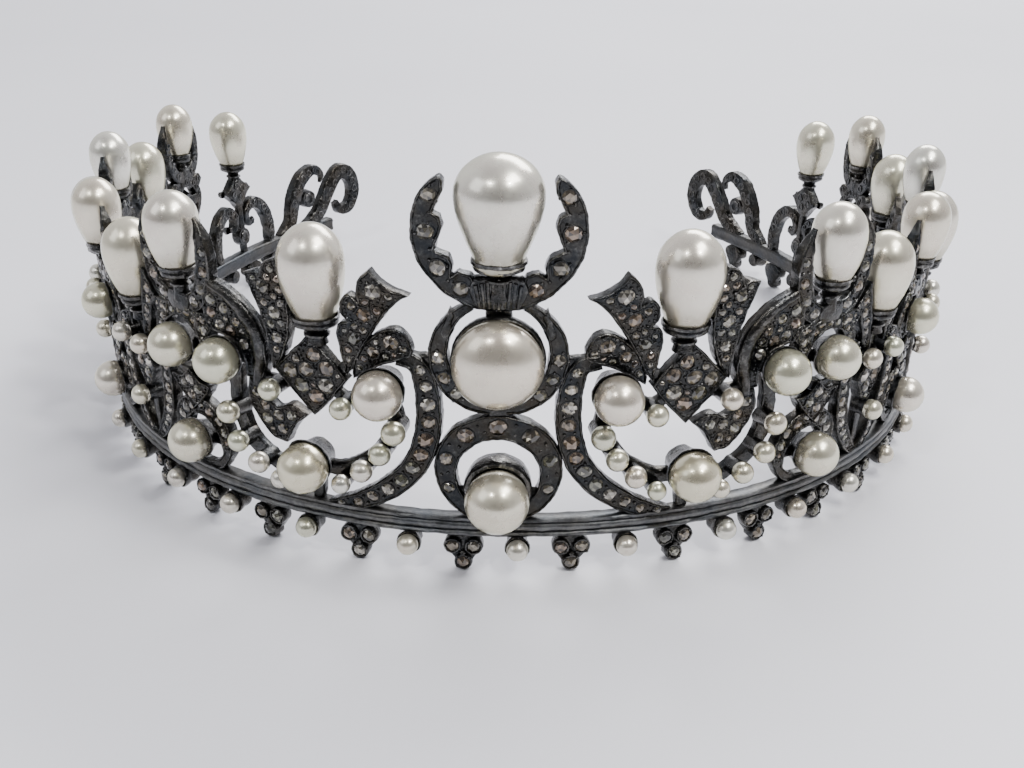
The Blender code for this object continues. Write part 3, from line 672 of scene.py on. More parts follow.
def pearl_look():
    """White to cream, rosy or greenish pearl under a glossy skin with small dents; painted shade
    with some dirt darkens its foot.
    """
    look, n = new_look("pearl_lustre")
    body = n.ramp(n.attribute("tone"), (
        (0, (0.8, 0.795, 0.725)), (0.25, (0.78, 0.71, 0.6)), (0.5, (0.75, 0.715, 0.57)),
        (0.75, (0.69, 0.7, 0.55)), (1, (0.76, 0.65, 0.46))))
    # Painted shade with some dirt: towards its foot, where it sits in its cup, the pearl is mixed
    # towards dark brown, in patches.
    shade_and_dirt_patches = n.math("ADD", n.noise(900), 0.35)
    foot_shade_and_dirt = n.math("MULTIPLY", n.attribute("foot"), shade_and_dirt_patches, clamp=True)
    body = n.mix(foot_shade_and_dirt, body, (0.22, 0.2, 0.115, 1))
    cloud = n.noise(330, 3)
    veil = n.ramp(cloud, ((0.3, (0.9, 0.86, 0.84)), (0.7, (1, 1, 0.97))))
    pit = n.new("TexVoronoi", {"Vector": n.new("TexCoord").outputs["Object"], "Scale": 620,
                               "Randomness": 1}).outputs["Distance"]
    dent = n.ramp(pit, ((0, (0, 0, 0)), (0.1, (1, 1, 1))))
    height = n.math("ADD", n.math("MULTIPLY", dent, 0.3), n.math("MULTIPLY", n.noise(520, 2), 0.8))
    n.set(Base_Color=n.mix(1, body, veil, "MULTIPLY"), Roughness=n.scaled(cloud, 0.16, 0.2),
          Normal=n.bump(height, 0.00005, 0.4), Metallic=0.8, Specular_Tint=(0.72, 0.76, 0.58, 1),
          IOR=1.6, Thin_Film_Thickness=360, Thin_Film_IOR=1.4, Coat_Weight=1, Coat_Roughness=0.055,
          Coat_IOR=1.6)
    return look


SILVER = metal_look(
    "blackened_silver_detail", (2400, 700, 230), (0.5, 1.3),
    ((0, (0.014, 0.0138, 0.013)), (0.3, (0.036, 0.036, 0.0345)), (0.62, (0.105, 0.103, 0.098)),
     (1, (0.46, 0.45, 0.43))),
    0.2, ((0.35, (0.05, 0.062, 0.078)), (0.5, (0.1, 0.098, 0.092)), (0.68, (0.13, 0.105, 0.075))),
    (0.28, 0.06), (0.5, 0.0002, 0.85))
RAIL = metal_look(
    "blackened_silver_rail", (1700, 420, 150), (0.66, 0.9),
    ((0, (0.034, 0.034, 0.034)), (0.4, (0.085, 0.086, 0.087)), (1, (0.25, 0.25, 0.245))),
    0.25, ((0.35, (0.08, 0.1, 0.125)), (0.6, (0.15, 0.14, 0.12))),
    (0.3, 0.26), (0.6, 0.0001, 0.6))
STONE = stone_look()
PEARL = pearl_look()


class Zone:
    """One stretch of the tiara: its metal and its stones."""

    def __init__(self, name):
        self.name = name
        self.metal = Batch()
        self.stones = Batch()

    def finish(self, both=True):
        """Makes the pieces, and their mirror images where the left side has them too."""
        for tail, side in SIDES if both else (("", 1),):
            finish_mesh(self.metal, self.name + "_metal" + tail, SILVER, side < 0)
            if self.stones.faces:
                finish_mesh(self.stones, self.name + "_stones" + tail, STONE, side < 0, flat=True)


def build_rail():
    """The rail: a rib along each edge and one in the middle, and two low ones behind."""
    profile = ((-1.35, -1.2, 0.1), (-1.6, -0.9, 0.3), (-1.6, 0.75, 0.5), (-1.45, 1.05, 1),
               (-1.15, 1.15, 0.9), (-0.85, 1, 0.6), (-0.72, 0.72, 0), (-0.5, 0.98, 0.6),
               (-0.2, 1.15, 0.9), (0.2, 1.15, 0.9), (0.5, 0.98, 0.6), (0.72, 0.72, 0),
               (0.85, 1, 0.6), (1.15, 1.15, 0.9), (1.45, 1.05, 1), (1.6, 0.75, 0.6),
               (1.6, -0.9, 0.3), (1.35, -1.2, 0.1), (0.95, -1.35, 0.2), (0.5, -1.2, 0),
               (-0.5, -1.2, 0), (-0.95, -1.35, 0.2))
    batch = Batch()
    batch.loops([[(station, RAIL_MID + high * 0.94, out) for high, out, wear in profile]
                 for station in np.linspace(-RAIL_END, RAIL_END, 301)], [row[2] for row in profile])
    piece = finish_mesh(batch, "rail", RAIL)
    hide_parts("frame")


def fringe_stations():
    """Where the fringe's pieces hang on both sides, and whether each is a pearl's cup."""
    result = []
    for way in (1, -1):
        station, cup = FRINGE_START, True
        while abs(station) < FRINGE_END:
            if way > 0 or station != FRINGE_START:
                result.append((station, cup))
            pitch = np.interp(abs(station), *zip(*FRINGE_PITCH))
            station, cup = station + way * float(pitch), not cup
    return result


FRINGE_CUP = (
    (0, -1.1, 0.1), (1.35, -1.1, 0.4), (1.5, -0.6, 0.5), (1.42, 0.2, 0.3), (1.66, 0.9, 0.5),
    (1.78, 1.5, 0.9), (1.72, 1.75, 1), (1.56, 1.7, 0.8), (1.4, 1.3, 0.1), (0, 1, 0.1),
)
TREFOIL = ((-2.7, 4.3), (0, 5.9), (2.7, 4.3), (1.2, 1.4), (0, 0.25), (-1.2, 1.4))
TREFOIL_STONES = ((-1.48, 4), (1.48, 4), (0, 1.42))


def trefoil(metal, stones, station):
    """Three short tubes with a stone in each, on a small plate."""
    plate(metal, moved(TREFOIL, station, 0), PLAIN, level=-0.25, step=0.6)
    for x, y in moved(TREFOIL_STONES, station, 0):
        wide = DICE.uniform(1.24, 1.36)
        lathe(metal, (x, y), [
            (0, -1, 0.1), (wide - 0.3, -1, 0.4), (wide, -0.7, 0.5), (wide + 0.02, 0.85, 0.6),
            (wide - 0.1, 1.12, 1), (wide - 0.3, 1.1, 0.9), (wide - 0.38, 0.8, 0),
            (0, 0.75, 0)], 14)
        rose(stones, (x, y), 0.95, 0.9)
        for angle in (0.8, 2.4, 3.9, 5.5):
            place = (x + 1.04 * math.cos(angle), y + 1.04 * math.sin(angle))
            grain(metal, place, 1.08, DICE.uniform(0.16, 0.26))
    grain(metal, (station, 2.9), 1, 0.42)


def build_fringe():
    """Pearl cups and trefoils of stones in turn, under the rail."""
    for tail, side in SIDES:
        metal, stones = Batch(), Batch()
        for station, cup in fringe_stations():
            if station * side > 0 and cup:
                lathe(metal, (station, FRINGE_HEIGHT), FRINGE_CUP)
                rod(metal, (station, 4.6, -0.1), (station, 6.4, -0.1), 1)
            elif station * side > 0:
                trefoil(metal, stones, station)
        finish_mesh(metal, "fringe_metal" + tail, SILVER)
        finish_mesh(stones, "fringe_stones" + tail, STONE, flat=True)


MIDDLE_CRESCENT = 51.2
CRESCENT_ARM = (
    (6.7, 6.6, 1), (7, 7.1), (7.7, 7), (9, 5.8), (10.3, 3.6), (10.9, 0), (10.4, -3.4), (8.8, -6.4),
    (6.2, -8.9), (3.2, -10.4), (0, -10.9, 1), (0, -6.9, 1), (2.2, -7), (3, -6.6), (3.4, -5.9),
    (5, -5.4, 1), (5.9, -6.1, 1), (5.7, -4.6), (6.2, -3.4, 1), (7.9, -2.6, 1), (7.4, -1),
    (6.9, 0.6), (7.2, 1.9, 1), (8, 2.4, 1), (7.4, 3.8), (6.8, 5.2),
)
CRESCENT_STONES = ((8.4, 4.6, 1), (8.9, -0.2, 1.1), (7.6, -5, 1.1), (4.7, -7.9, 1))


def ribs(metal, station, height, size):
    """The fan of small ribs at the foot of a crescent, up to its cup."""
    foot = ((-2.5, -10.6, 1), (2.5, -10.6, 1), (3.7, -8), (3, -6, 1), (-3, -6, 1), (-3.7, -8))
    plate(metal, moved(foot, station, height, size), PLAIN, level=0.45 * size, step=0.5)
    for turn in (-1, -0.75, -0.5, -0.25, 0, 0.25, 0.5, 0.75, 1):
        top = height - (6 + abs(turn)) * size
        rod(metal, (station + turn * 2.3 * size, height - 10.3 * size, 1.05 * size),
            (station + turn * 2.8 * size, top, 1.35 * size), 0.27 * size, 6, 0.6)


def crescent(zone, height):
    """The large crescent: two leafy arms round the middle drop."""
    for side in (1, -1):
        plate(zone.metal, moved(CRESCENT_ARM, 0, height, side=side), step=0.4)
        for x, y, radius in CRESCENT_STONES:
            seat(zone, (side * x, height + y), radius, 3)
            eyelet(zone.metal, (side * x, height + y), radius)
        for x, y in ((8.4, 2.3), (8.4, -2.6), (6.3, -6.7)):
            grain(zone.metal, (side * x, height + y), FIELD, 0.3)
    ribs(zone.metal, 0, height, 1)


HORN = ((0, -5.7), (2.6, -5.3), (4.7, -3.6), (5.8, -0.8), (6.2, 2.4), (5.9, 5.4), (4.9, 7.7))
HORN_WIDTHS = (3, 3, 2.9, 2.7, 2.4, 1.7, 0.4)


def horns(zone, station, height, size):
    """A smaller crescent: two plain pointed horns with a few stones at their root."""
    leaf = ((3, -4.2, 1), (4.4, -2.6, 1), (3.9, -1.2), (5, -0.6, 1), (5.4, -3), (4, -5, 1))
    for side in (1, -1):
        line = spread(moved(HORN, station, height, size, side), 0.4)
        band(zone.metal, line, [width * size for width in HORN_WIDTHS])
        stone_row(zone, line, 4, (0.85 * size, 0.9 * size, 0.7 * size), 0.2, 0.72)
        plate(zone.metal, moved(leaf, station, height, size, side), PLAIN, level=0.1)
    ribs(zone.metal, station, height, size * 0.66)


RING_HEIGHT = 16
RING_WIDTHS = (3.8, 3.7, 3.1, 2.4, 2, 2.4, 3.1, 3.7, 3.8)
RING_SEAT = (
    (0, -0.95, 0.3), (4.1, -0.95, 0.4), (4.5, -0.5, 0.7), (4.6, 1, 0.9), (4.55, 2.3, 0.9),
    (4.35, 2.75, 1), (3.9, 2.85, 0.8), (3.6, 2.5, 0.2), (0, 2, 0.1),
)
BUTTON_SEAT = (
    (0, -1.6, 0.1), (4.6, -1.6, 0.2), (5.6, -0.6, 0.4), (6.05, 0.8, 0.7), (6.05, 1.7, 0.9),
    (5.85, 2.05, 1), (5.5, 2, 0.6), (5.2, 1.6, 0.1), (0, 1, 0.1),
)
BUTTON_LEAF = (
    (6.2, 40.6, 1), (5.4, 39.6, 1), (5.9, 38.4, 1), (5.6, 37.5, 1), (6.4, 35.9, 1), (7.4, 37),
)


def build_middle():
    """The middle motif: a ring round a pearl, a ring round the button, and the crescent."""
    zone = Zone("middle")
    metal = zone.metal
    band(metal, arc((0, RING_HEIGHT), 7.2, 90, 450, 0.4)[:-1], RING_WIDTHS, closed=True)
    upper = arc((0, RING_HEIGHT), 7.25, 208, -28)
    stone_row(zone, upper, 7, (0.85, 1.1, 1.2, 1.1, 0.85), 0.03, 0.97)
    for angle in range(-24, 210, 39):
        turn = math.radians(angle)
        eyelet(metal, (7.2 * math.cos(turn), RING_HEIGHT + 7.2 * math.sin(turn)), 1)
    for side in (1, -1):
        line = arc((0, BUTTON_HEIGHT), 7.8, 90 - side * 26, 90 - side * 172, 0.4, tall=7.9)
        band(metal, line, (1.2, 1.8, 2.4, 2.7, 2.7, 2.4, 1.8))
        for angle in (4, 26, 47):
            turn = math.radians(-angle)
            place = (7.85 * side * math.cos(turn), BUTTON_HEIGHT + 7.95 * math.sin(turn))
            seat(zone, place, 0.9, 5)
            eyelet(metal, place, 0.85)
        plate(metal, moved(BUTTON_LEAF, 0, 0, side=side), PLAIN, level=0.2, step=0.4)
    lathe(metal, (0, BUTTON_HEIGHT), BUTTON_SEAT, 40)
    for high, wide in ((25, 1.5), (40.7, 1.7)):
        plate(metal, [(-wide, high - 1.2, 1), (wide, high - 1.2, 1), (wide, high + 1.2, 1),
                      (-wide, high + 1.2, 1)], PLAIN, step=0.5)
    lathe(metal, (0, 14.2), RING_SEAT, 36)
    for side in (1, -1):
        rod(metal, (side * 3.2, 13, 0), (side * 6.4, 12.6, 0), 0.7, 8)
    crescent(zone, MIDDLE_CRESCENT)
    dish(metal, 0, 46.7, 5.8, 4.7, 0.575)
    zone.finish(False)


# The front panel, with heights over the rail's middle. A third value marks a sharp corner.
FRONT_CENTRE = 25.5
FRONT_DROP = 24.5
FRONT_DROP_FOOT = 36.9
FRONT_DROP_RADIUS = 4.6
C_SCROLL = (
    (13.2, 25.7), (10.6, 24.8), (9.4, 20.9), (9.4, 15.4), (11, 10), (14.6, 5.6), (19.6, 2.4),
    (24.6, 0.8),
)
CURLED_LEAF = (
    (11.2, 27.4), (12.2, 29.4), (14, 29.9), (16.4, 28.6), (18.4, 26.2), (19.4, 23.6),
    (19.3, 21.9, 1), (17.6, 22.9), (15.6, 24.2), (13, 25.3), (11.4, 26),
)
FAN_LEAF = (
    (11.2, 34.8, 1), (13.4, 35.4), (15.2, 36.6), (16.4, 38, 1), (17.8, 36.6), (18.3, 34.6),
    (18, 33.4, 1), (19.4, 34.3), (20.5, 33.2), (20.6, 31.6), (19.6, 30.4, 1), (20.9, 30),
    (21.3, 28.4), (21, 26), (20.3, 22.2, 1), (18.9, 24.2), (17.2, 27.6), (14.8, 31.4), (13, 33.6),
)
RIGHT_LEAF = (
    (34.6, 35.2, 1), (32.9, 35.7), (32.2, 35.2, 1), (31.2, 37.2), (29.3, 38.1, 1), (28.4, 35.6),
    (28, 31.4), (28.5, 26.6), (30.2, 22.6), (31.4, 21.2, 1), (31.8, 24.8), (32.6, 29.6),
)
LOZENGE = (
    (25.5, 27.6, 1), (28.6, 24.4), (31.2, 21.6, 1), (28.6, 18.6), (25.5, 15.2, 1), (22.6, 18.4),
    (20.2, 21.6, 1), (22.6, 24.6),
)
WIDE_UPPER = (
    (41.4, 32.9, 1), (38.4, 31.9), (35.6, 30.2), (33.5, 27.8), (32.5, 24.3), (32.6, 20.9),
    (33.9, 18.9, 1), (36.2, 19.1, 1), (36.2, 21.6), (37.4, 23.6), (39.4, 24.6), (42.2, 24.9, 1),
    (42.9, 27.6), (42.6, 30.6, 1),
)
WIDE_RIB = (
    (40.9, 32.1), (38, 31), (35.8, 29.2), (34.1, 26.6), (33.6, 23.6), (34, 20.6), (34.6, 18.2),
)
WIDE_LOWER = (
    (33.7, 19, 1), (33.1, 16.8), (31.5, 15.3), (29.3, 16.2), (26.6, 15, 1), (28.7, 12.9),
    (30.4, 9.9, 1), (32.6, 10.3), (34.9, 12.9), (36.3, 16.1), (35.8, 19, 1),
)
SIDE_TAB = ((42.3, 23.6, 1), (42.2, 26.2, 1), (45, 27.6, 1), (45.2, 24.4), (44.4, 22.4, 1))


# The struts behind the front panel: wide ones under its pearls, and narrow ones between its forms.
WIDE_STRUTS = (
    ((15, 20.2), (14, 15.4), (15.8, 11.4), (18.6, 8.6), (22.6, 6.8), (26.4, 7.2)),
    ((38.4, 21.4), (39.2, 14.6), (37.8, 9.2), (34.2, 6.2), (30.6, 5), (26.6, 5.8)),
)
NARROW_STRUTS = (
    ((17.4, 20.6), (20.4, 18.2), (22.8, 19.4)), ((29.4, 19.4), (31.4, 19), (34.6, 19)),
    ((34.8, 21.6), (38.6, 21.8), (43.8, 22.4)), ((7.4, 25.2), (11.6, 25.6)),
    ((25.8, 7), (26.6, 0.6)), ((19.8, 24), (22.4, 21.6)), ((31.6, 22.4), (29.2, 21.6)),
)


def leaf_of_stones(zone, points, large, sizes, around=6):
    """A leaf with a few large stones down its middle and small ones round them."""
    taken = [(x, RAIL_MID + y, radius) for x, y, radius in large]
    for x, y, radius in taken:
        seat(zone, (x, y), radius, around)
    paved_plate(zone, up(points), sizes, taken=taken)


def build_front_panel():
    """The panel beside the middle: scrolls, leaves, a lozenge and its pearls' seats."""
    zone = Zone("front_panel")
    metal = zone.metal
    line = spread(up(C_SCROLL), 0.45)
    band(metal, line, (2, 3, 3.5, 3.6, 3.6, 3.5, 3.2, 2.6, 1.4))
    stone_row(zone, line, 12, (0.8, 1, 1.1, 1.1, 1, 0.85, 0.7), 0.1, 0.94)
    leaf_of_stones(zone, CURLED_LEAF, ((13.9, 27.9, 1.05), (16.4, 26.2, 0.85)), (0.5, 0.4), 4)
    leaf_of_stones(zone, FAN_LEAF, ((15.9, 35, 1.1), (17.4, 31.6, 1), (18.9, 27.9, 0.9)),
                   (0.58, 0.46))
    leaf_of_stones(zone, RIGHT_LEAF, ((31.9, 33.4, 0.95), (30.4, 30, 0.95), (30.4, 26.2, 0.85)),
                   (0.58, 0.46))
    paved_plate(zone, up(LOZENGE), (1.12, 0.62, 0.42))
    dish(metal, FRONT_DROP, FRONT_DROP_FOOT, FRONT_DROP_RADIUS)
    paved_plate(zone, up(WIDE_UPPER), (0.85, 0.68, 0.52, 0.42),
                taken=[(x, RAIL_MID + y, 1.15) for x, y in spread(WIDE_RIB, 0.5)])
    band(metal, spread(up(WIDE_RIB), 0.45), (1.4, 1.8, 2.1, 2.2, 2.1, 1.8, 1.3), RIB, level=0.5)
    paved_plate(zone, up(WIDE_LOWER), (0.85, 0.68, 0.5, 0.4))
    paved_plate(zone, up(SIDE_TAB), (0.8, 0.6, 0.4))
    for name, x, y, radius, out in ROUND_PEARLS:
        collet(metal, (x, RAIL_MID + y + 0.3), out, radius)
    for struts, widths, level in ((WIDE_STRUTS, (2, 2.6, 2.6, 1.8), -0.4),
                                  (NARROW_STRUTS, (1.6, 1.8, 1.6), -0.3)):
        for points in struts:
            band(metal, spread(up(points), 0.6), widths, PLAIN, level)
    zone.finish()


# Pearls of the front panel: place along, height over the rail's middle, and radius; the round ones
# also have a name and their distance out.
FRONT_SMALL = (
    (13.6, 15.2, 1.75), (15.6, 11.6, 1.6), (18.3, 8.6, 1.6), (21.4, 6, 1.4), (20.6, 18, 1.6),
    (31, 19, 1.6), (38.6, 13.6, 1.7), (37.4, 9.2, 1.6), (34.2, 6.6, 1.6), (30.9, 4.7, 1.4),
)
FRONT_SMALL_OUT = 2.8
ROUND_PEARLS = (
    ("inner", 15, 21.4, 3.4, 4.2), ("low", 26, 8.4, 3.6, 4.4), ("outer", 38.9, 21.8, 3.3, 3.4),
)

# The smaller motifs: name, station, size, the drop's radius and height, and where the button and
# the low pearl are, as station and height over the rail's middle.
MOTIFS = (
    ("side", 48, 1, 3.9, 11.6, (48.5, 21.5), (47, 6.4)),
    ("flank", 75.5, 0.88, 3.7, 11, (73.8, 20.2), (74, 6.5)),
    ("arm", 108.5, 0.86, 3.6, 11, (108.5, 18.5), (108.5, 5.8)),
    ("rear", 137, 0.83, 3.5, 10.6, (137, 17.8), (137, 5.6)),
)
MOTIF_PEARL = 3.3


def motif_pearls(size, button, low):
    """The button's and the low pearl's place along, height, distance out and radius."""
    radius = MOTIF_PEARL * size
    return ((button[0], RAIL_MID + button[1], radius - 0.45, radius),
            (low[0], RAIL_MID + low[1], radius - 0.1, radius))


MOTIF_CUP = 32.4
MOTIF_LEAF = (
    (0, 3.6, 1), (1.8, 1.9), (4.4, 1.6, 1), (2.8, -0.6), (0, -3.4, 1), (-2.8, -0.6), (-4.4, 1.6, 1),
    (-1.8, 1.9),
)
MOTIF_WING = ((2.6, -6.4, 1), (5.8, -6.2), (7, -7.6, 1), (5.4, -9.4), (3.4, -9.4, 1))


def build_motif(name, station, size, drop_radius, button, low):
    """A smaller middle motif: an arch and a ring round its pearls, a crescent and a cup."""
    zone = Zone(name + "_motif")
    metal = zone.metal
    top = RAIL_MID + 33.4 * size
    round_pearls = motif_pearls(size, button, low)
    for (x, y, out, radius), (broad, narrow) in zip(round_pearls, ((2.4, 1.7), (3, 1.5))):
        broad, narrow = broad * size, narrow * size
        ring = arc((x, y), 5 * size, 90, 450, 0.4)[:-1]
        band(metal, ring, (broad, broad, narrow, narrow, narrow, broad, broad), closed=True)
        upper = arc((x, y), 5 * size, 200, -20)
        pave(zone, band_outline(upper, (narrow, broad, broad, broad, narrow)),
             (0.8 * size, 0.62 * size, 0.45), 0.42)
        collet(metal, (x, y), out, radius)
        band(metal, ((x - 4.2 * size, y), (x, y), (x + 4.2 * size, y)), (2, 2.2, 2), PLAIN, -0.3)
    leaf = moved(MOTIF_LEAF, (button[0] + low[0]) / 2, RAIL_MID + (button[1] + low[1]) / 2, size)
    paved_plate(zone, leaf, (0.85 * size, 0.6 * size, 0.42), 0.46, level=0.25)
    for side in (1, -1):
        wing = moved(MOTIF_WING, station, top, size, side)
        paved_plate(zone, wing, (0.7 * size, 0.5 * size, 0.38), 0.42)
    horns(zone, station, top, size)
    dish(metal, station, RAIL_MID + MOTIF_CUP * size, drop_radius, 4.4 * size)
    neck = (button[0], round_pearls[0][1] + 4 * size), (station, top - 5.8 * size)
    band(metal, neck, (2.2, 2.2), PLAIN)
    zone.finish()


# The panels: name, station, width and height against the front panel, the drop's radius and height.
PANELS = (
    ("side", 61, 0.5, 0.83, 4.1, 12.4), ("flank", 91.5, 0.56, 0.78, 4, 12.2),
    ("arm", 123, 0.5, 0.72, 4, 12),
)
PANEL_SCROLL = (
    (16.6, 24.8), (12.9, 23.2), (12.2, 18.6), (12.6, 13.8), (14.9, 8.6), (19.6, 4.2), (25.2, 1),
)
PANEL_LEAF = (
    (11.2, 33, 1), (14.2, 35.2), (16.4, 37, 1), (18.6, 32.6), (20.6, 27.4), (20.9, 20.8, 1),
    (17.4, 25.2), (13.8, 30.6),
)
PANEL_SMALL = ((19.4, 22.2, 1.6), (31.6, 22.2, 1.6), (25.5, 10.6, 1.6))
PANEL_SMALL_OUT = 2.3
PANEL_CUP = 29.7
PANEL_LOZENGE = (
    (0, 5.2, 1), (1.7, 2.6), (3.6, 0.2, 1), (1.9, -2.4), (0, -5.4, 1), (-1.9, -2.4), (-3.6, 0.2, 1),
    (-1.7, 2.6),
)


def build_panel(name, station, wide, tall, drop_radius):
    """A narrow panel: two scrolls and two leaves beside a lozenge with its cup."""
    zone = Zone(name + "_panel")
    metal = zone.metal

    def place(points, side=1):
        return [(station + side * (x - FRONT_CENTRE) * wide, RAIL_MID + y * tall) + tuple(rest)
                for x, y, *rest in points]

    for side in (1, -1):
        paved_band(zone, place(PANEL_SCROLL, side), (1.5, 2.4, 2.7, 2.7, 2.6, 2.3, 1.3),
                   (0.78, 0.6, 0.44), 0.46)
        paved_plate(zone, place(PANEL_LEAF, side), (0.75, 0.56, 0.42), 0.44)
    paved_plate(zone, moved(PANEL_LOZENGE, station, RAIL_MID + 17 * tall), (0.95, 0.7, 0.48))
    for x, y, radius in PANEL_SMALL:
        tube(metal, place(((x, y),))[0], PANEL_SMALL_OUT, radius)
    dish(metal, station, RAIL_MID + PANEL_CUP * tall, drop_radius)
    band(metal, ((station, RAIL_MID), (station, RAIL_MID + 27 * tall)), (1.8, 1.8), PLAIN, -0.4)
    band(metal, place(((12.6, 21.4), (25.5, 21), (38.4, 21.4))), (1.7, 2.2, 1.7), PLAIN, -0.4)
    zone.finish()


END_STATION = 155.5
END_BOTTOM = 27.6
END_CURL = ((9.4, 0.8), (9.8, 5), (8.2, 9.4), (4.8, 11.5), (2, 9.9), (2.5, 7.4), (4.4, 7.4))
HOOK = (
    (168.8, 1), (172.8, 3.6), (174.5, 8), (177.5, 12.2), (181.6, 13.9), (184.4, 12.2), (184, 10.4),
)
END_SCROLL = (
    (177, 1), (182.4, 3.4), (186.6, 8.6), (190, 11.7), (193.2, 10.5), (194.3, 6.6), (192.4, 3),
    (189.4, 2.8), (188.3, 4.8),
)


END_LOZENGE = (
    (0, 18.8, 1), (2.2, 16.8), (4.4, 15.2, 1), (2.2, 13.4), (0, 11, 1), (-2.2, 13.4),
    (-4.4, 15.2, 1), (-2.2, 16.8),
)


def bead_ring(zone, centre, radius):
    """A short tube that holds one round stone."""
    lathe(zone.metal, centre, [
        (0, -0.95, 0.1), (radius - 0.1, -0.95, 0.4), (radius, 0.7, 0.5), (radius - 0.1, 1.05, 1),
        (radius - 0.4, 1, 0.8), (radius - 0.55, 0.7, 0), (0, 0.6, 0)])
    eyelet(zone.metal, centre, radius - 0.7)
    rose(zone.stones, centre, 0.85, radius - 0.6)


def build_end():
    """The last drop's cluster, and the open scrolls that end the arm."""
    zone = Zone("end_cluster")
    metal = zone.metal
    paved_plate(zone, moved(END_LOZENGE, END_STATION, RAIL_MID), (0.8, 0.6, 0.44))
    for side in (1, -1):
        paved_band(zone, moved(END_CURL, END_STATION, RAIL_MID, side=side),
                   (1.8, 2.5, 2.7, 2.6, 2.2, 1.7, 1.1), (0.75, 0.58, 0.42), 0.44)
        grain(metal, (END_STATION + side * 4.2, RAIL_MID + 15.2), 0.6, 0.8)
        grain(metal, (END_STATION + side * 4.4, RAIL_MID + 7.4), 0.3, 0.9)
    bead_ring(zone, (END_STATION, RAIL_MID + 5), 2)
    bead_ring(zone, (179.2, RAIL_MID + 7.6), 2.1)
    for points in (((END_STATION, 12), (END_STATION, 0)), ((174.6, 7.4), (178.6, 7.6))):
        band(metal, up(points), (1.5, 1.5), PLAIN, -0.2)
    dish(metal, END_STATION, END_BOTTOM, 3.9, 3)
    sizes = (0.85, 0.62, 0.46)
    paved_band(zone, up(HOOK), (1.6, 2.8, 3.5, 3.6, 3.2, 2.2, 0.6), sizes)
    paved_band(zone, up(END_SCROLL), (1.6, 2.9, 3.5, 3.5, 3.5, 3.5, 3.2, 2.6, 1.4), sizes)
    zone.finish()


# A drop's outline: depth below its top against its height, and radius against its largest.
DROP_PROFILE = (
    (0, 0), (0.008, 0.19), (0.03, 0.375), (0.07, 0.565), (0.14, 0.77), (0.22, 0.91), (0.31, 0.98),
    (0.42, 1), (0.52, 0.98), (0.62, 0.93), (0.72, 0.855), (0.82, 0.76), (0.91, 0.65), (0.97, 0.57),
    (1, 0.49), (1, 0),
)
SLIM_PROFILE = (
    (0, 0), (0.008, 0.21), (0.03, 0.405), (0.07, 0.6), (0.13, 0.785), (0.2, 0.91), (0.27, 0.98),
    (0.34, 1), (0.42, 0.99), (0.51, 0.95), (0.6, 0.885), (0.67, 0.82), (0.73, 0.76), (0.786, 0.7),
    (0.84, 0.64), (0.9, 0.585), (1, 0.52), (1, 0),
)
PEARL_SIDES = 36
# How far up a pearl, against its height, the painted shade and dirt at its foot reach.
FOOT_SHADE_AND_DIRT_REACH = 0.34


def frame_of(length, height, out, lying=False):
    """Where a pearl stands on the bent tiara, and the way that it leans or lies."""
    place = Matrix.Translation(bend([(length, height, out)])[0])
    heading = math.copysign(float(np.interp(abs(length), PLAN[0], PLAN[3])), length)
    turned = place @ Matrix.Rotation(heading, 4, "Z") @ Matrix.Rotation(math.atan(FLARE), 4, "X")
    return turned @ Matrix.Rotation(math.pi / 2, 4, "X") if lying else turned


def pearl_mesh(name, rings, place, seed, tone, uneven_by=0.007):
    """A pearl from its rings of (radius, height) in mm, a little uneven as real ones are."""
    dice = random.Random(seed)
    waves = [(dice.choice((1, 2, 2, 3)), dice.uniform(0, 6.3), dice.uniform(0.6, 2.2),
              dice.uniform(0, 6.3)) for index in range(4)]
    bottom = min(high for radius, high in rings)
    tall = max(high for radius, high in rings) - bottom
    verts, faces = [], []
    for radius, high in rings:
        for angle in turns(PEARL_SIDES):
            swell = 1
            for count, phase, pitch, start in waves:
                wave = math.sin(count * angle + phase) * math.cos(pitch * 3 * high / tall + start)
                swell += uneven_by * wave
            reach = radius * swell * MM
            verts.append((reach * math.cos(angle), reach * math.sin(angle), high * MM))
    for near in range(0, len(verts) - PEARL_SIDES, PEARL_SIDES):
        faces += ring_faces(near, near + PEARL_SIDES, PEARL_SIDES)
    mesh = bpy.data.meshes.new(name)
    mesh.from_pydata(verts, [], faces)
    mend(mesh, False)
    write(mesh, "tone", "POINT", [tone] * len(mesh.vertices))
    # The foot value, 1 at the pearl's foot and 0 from a third of its height up, carries painted
    # shade with some dirt.
    write(mesh, "foot", "POINT", [max(0, 1 - (vert.co.z - bottom * MM) / (tall * MM * FOOT_SHADE_AND_DIRT_REACH))
                                  for vert in mesh.vertices])
    mesh.transform(place)
    mesh.shade_smooth()
    return mesh


def drop_rings(tall, radius, profile):
    """The rings of a drop from its top to its foot."""
    line = spread([(down * tall, wide * radius) for down, wide in profile], tall / 34)
    return [(max(wide, 0), tall - down) for down, wide in line]


def round_rings(radius, flatten=1, count=26):
    """The rings of a round or flattened pearl."""
    turns = [math.pi * index / count for index in range(count + 1)]
    return [(radius * math.sin(turn), radius * flatten * math.cos(turn)) for turn in turns]


def pearl_piece(name, mesh, *nodes):
    """Makes a pearl's mesh a piece, in the place of its solid where it has one."""
    mesh.materials.append(PEARL)
    piece = place_object(name, mesh)
    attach(piece, "root")
    if nodes:
        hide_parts(*nodes)


def drop(node, length, bottom, tall, radius, tone, profile=DROP_PROFILE, uneven_by=0.009):
    """A drop pearl that stands in its cup."""
    rings = drop_rings(tall, radius, profile)
    mesh = pearl_mesh(node + "_pearl", rings, frame_of(length, bottom, 0), node, tone, uneven_by)
    pearl_piece(node + "_lustre", mesh, node)


def ball(node, length, height, out, radius, tone, flatten=1):
    """A round pearl in front of its collet."""
    place = frame_of(length, height, out, True)
    mesh = pearl_mesh(node + "_pearl", round_rings(radius, flatten), place, node, tone)
    pearl_piece(node + "_lustre", mesh, node)


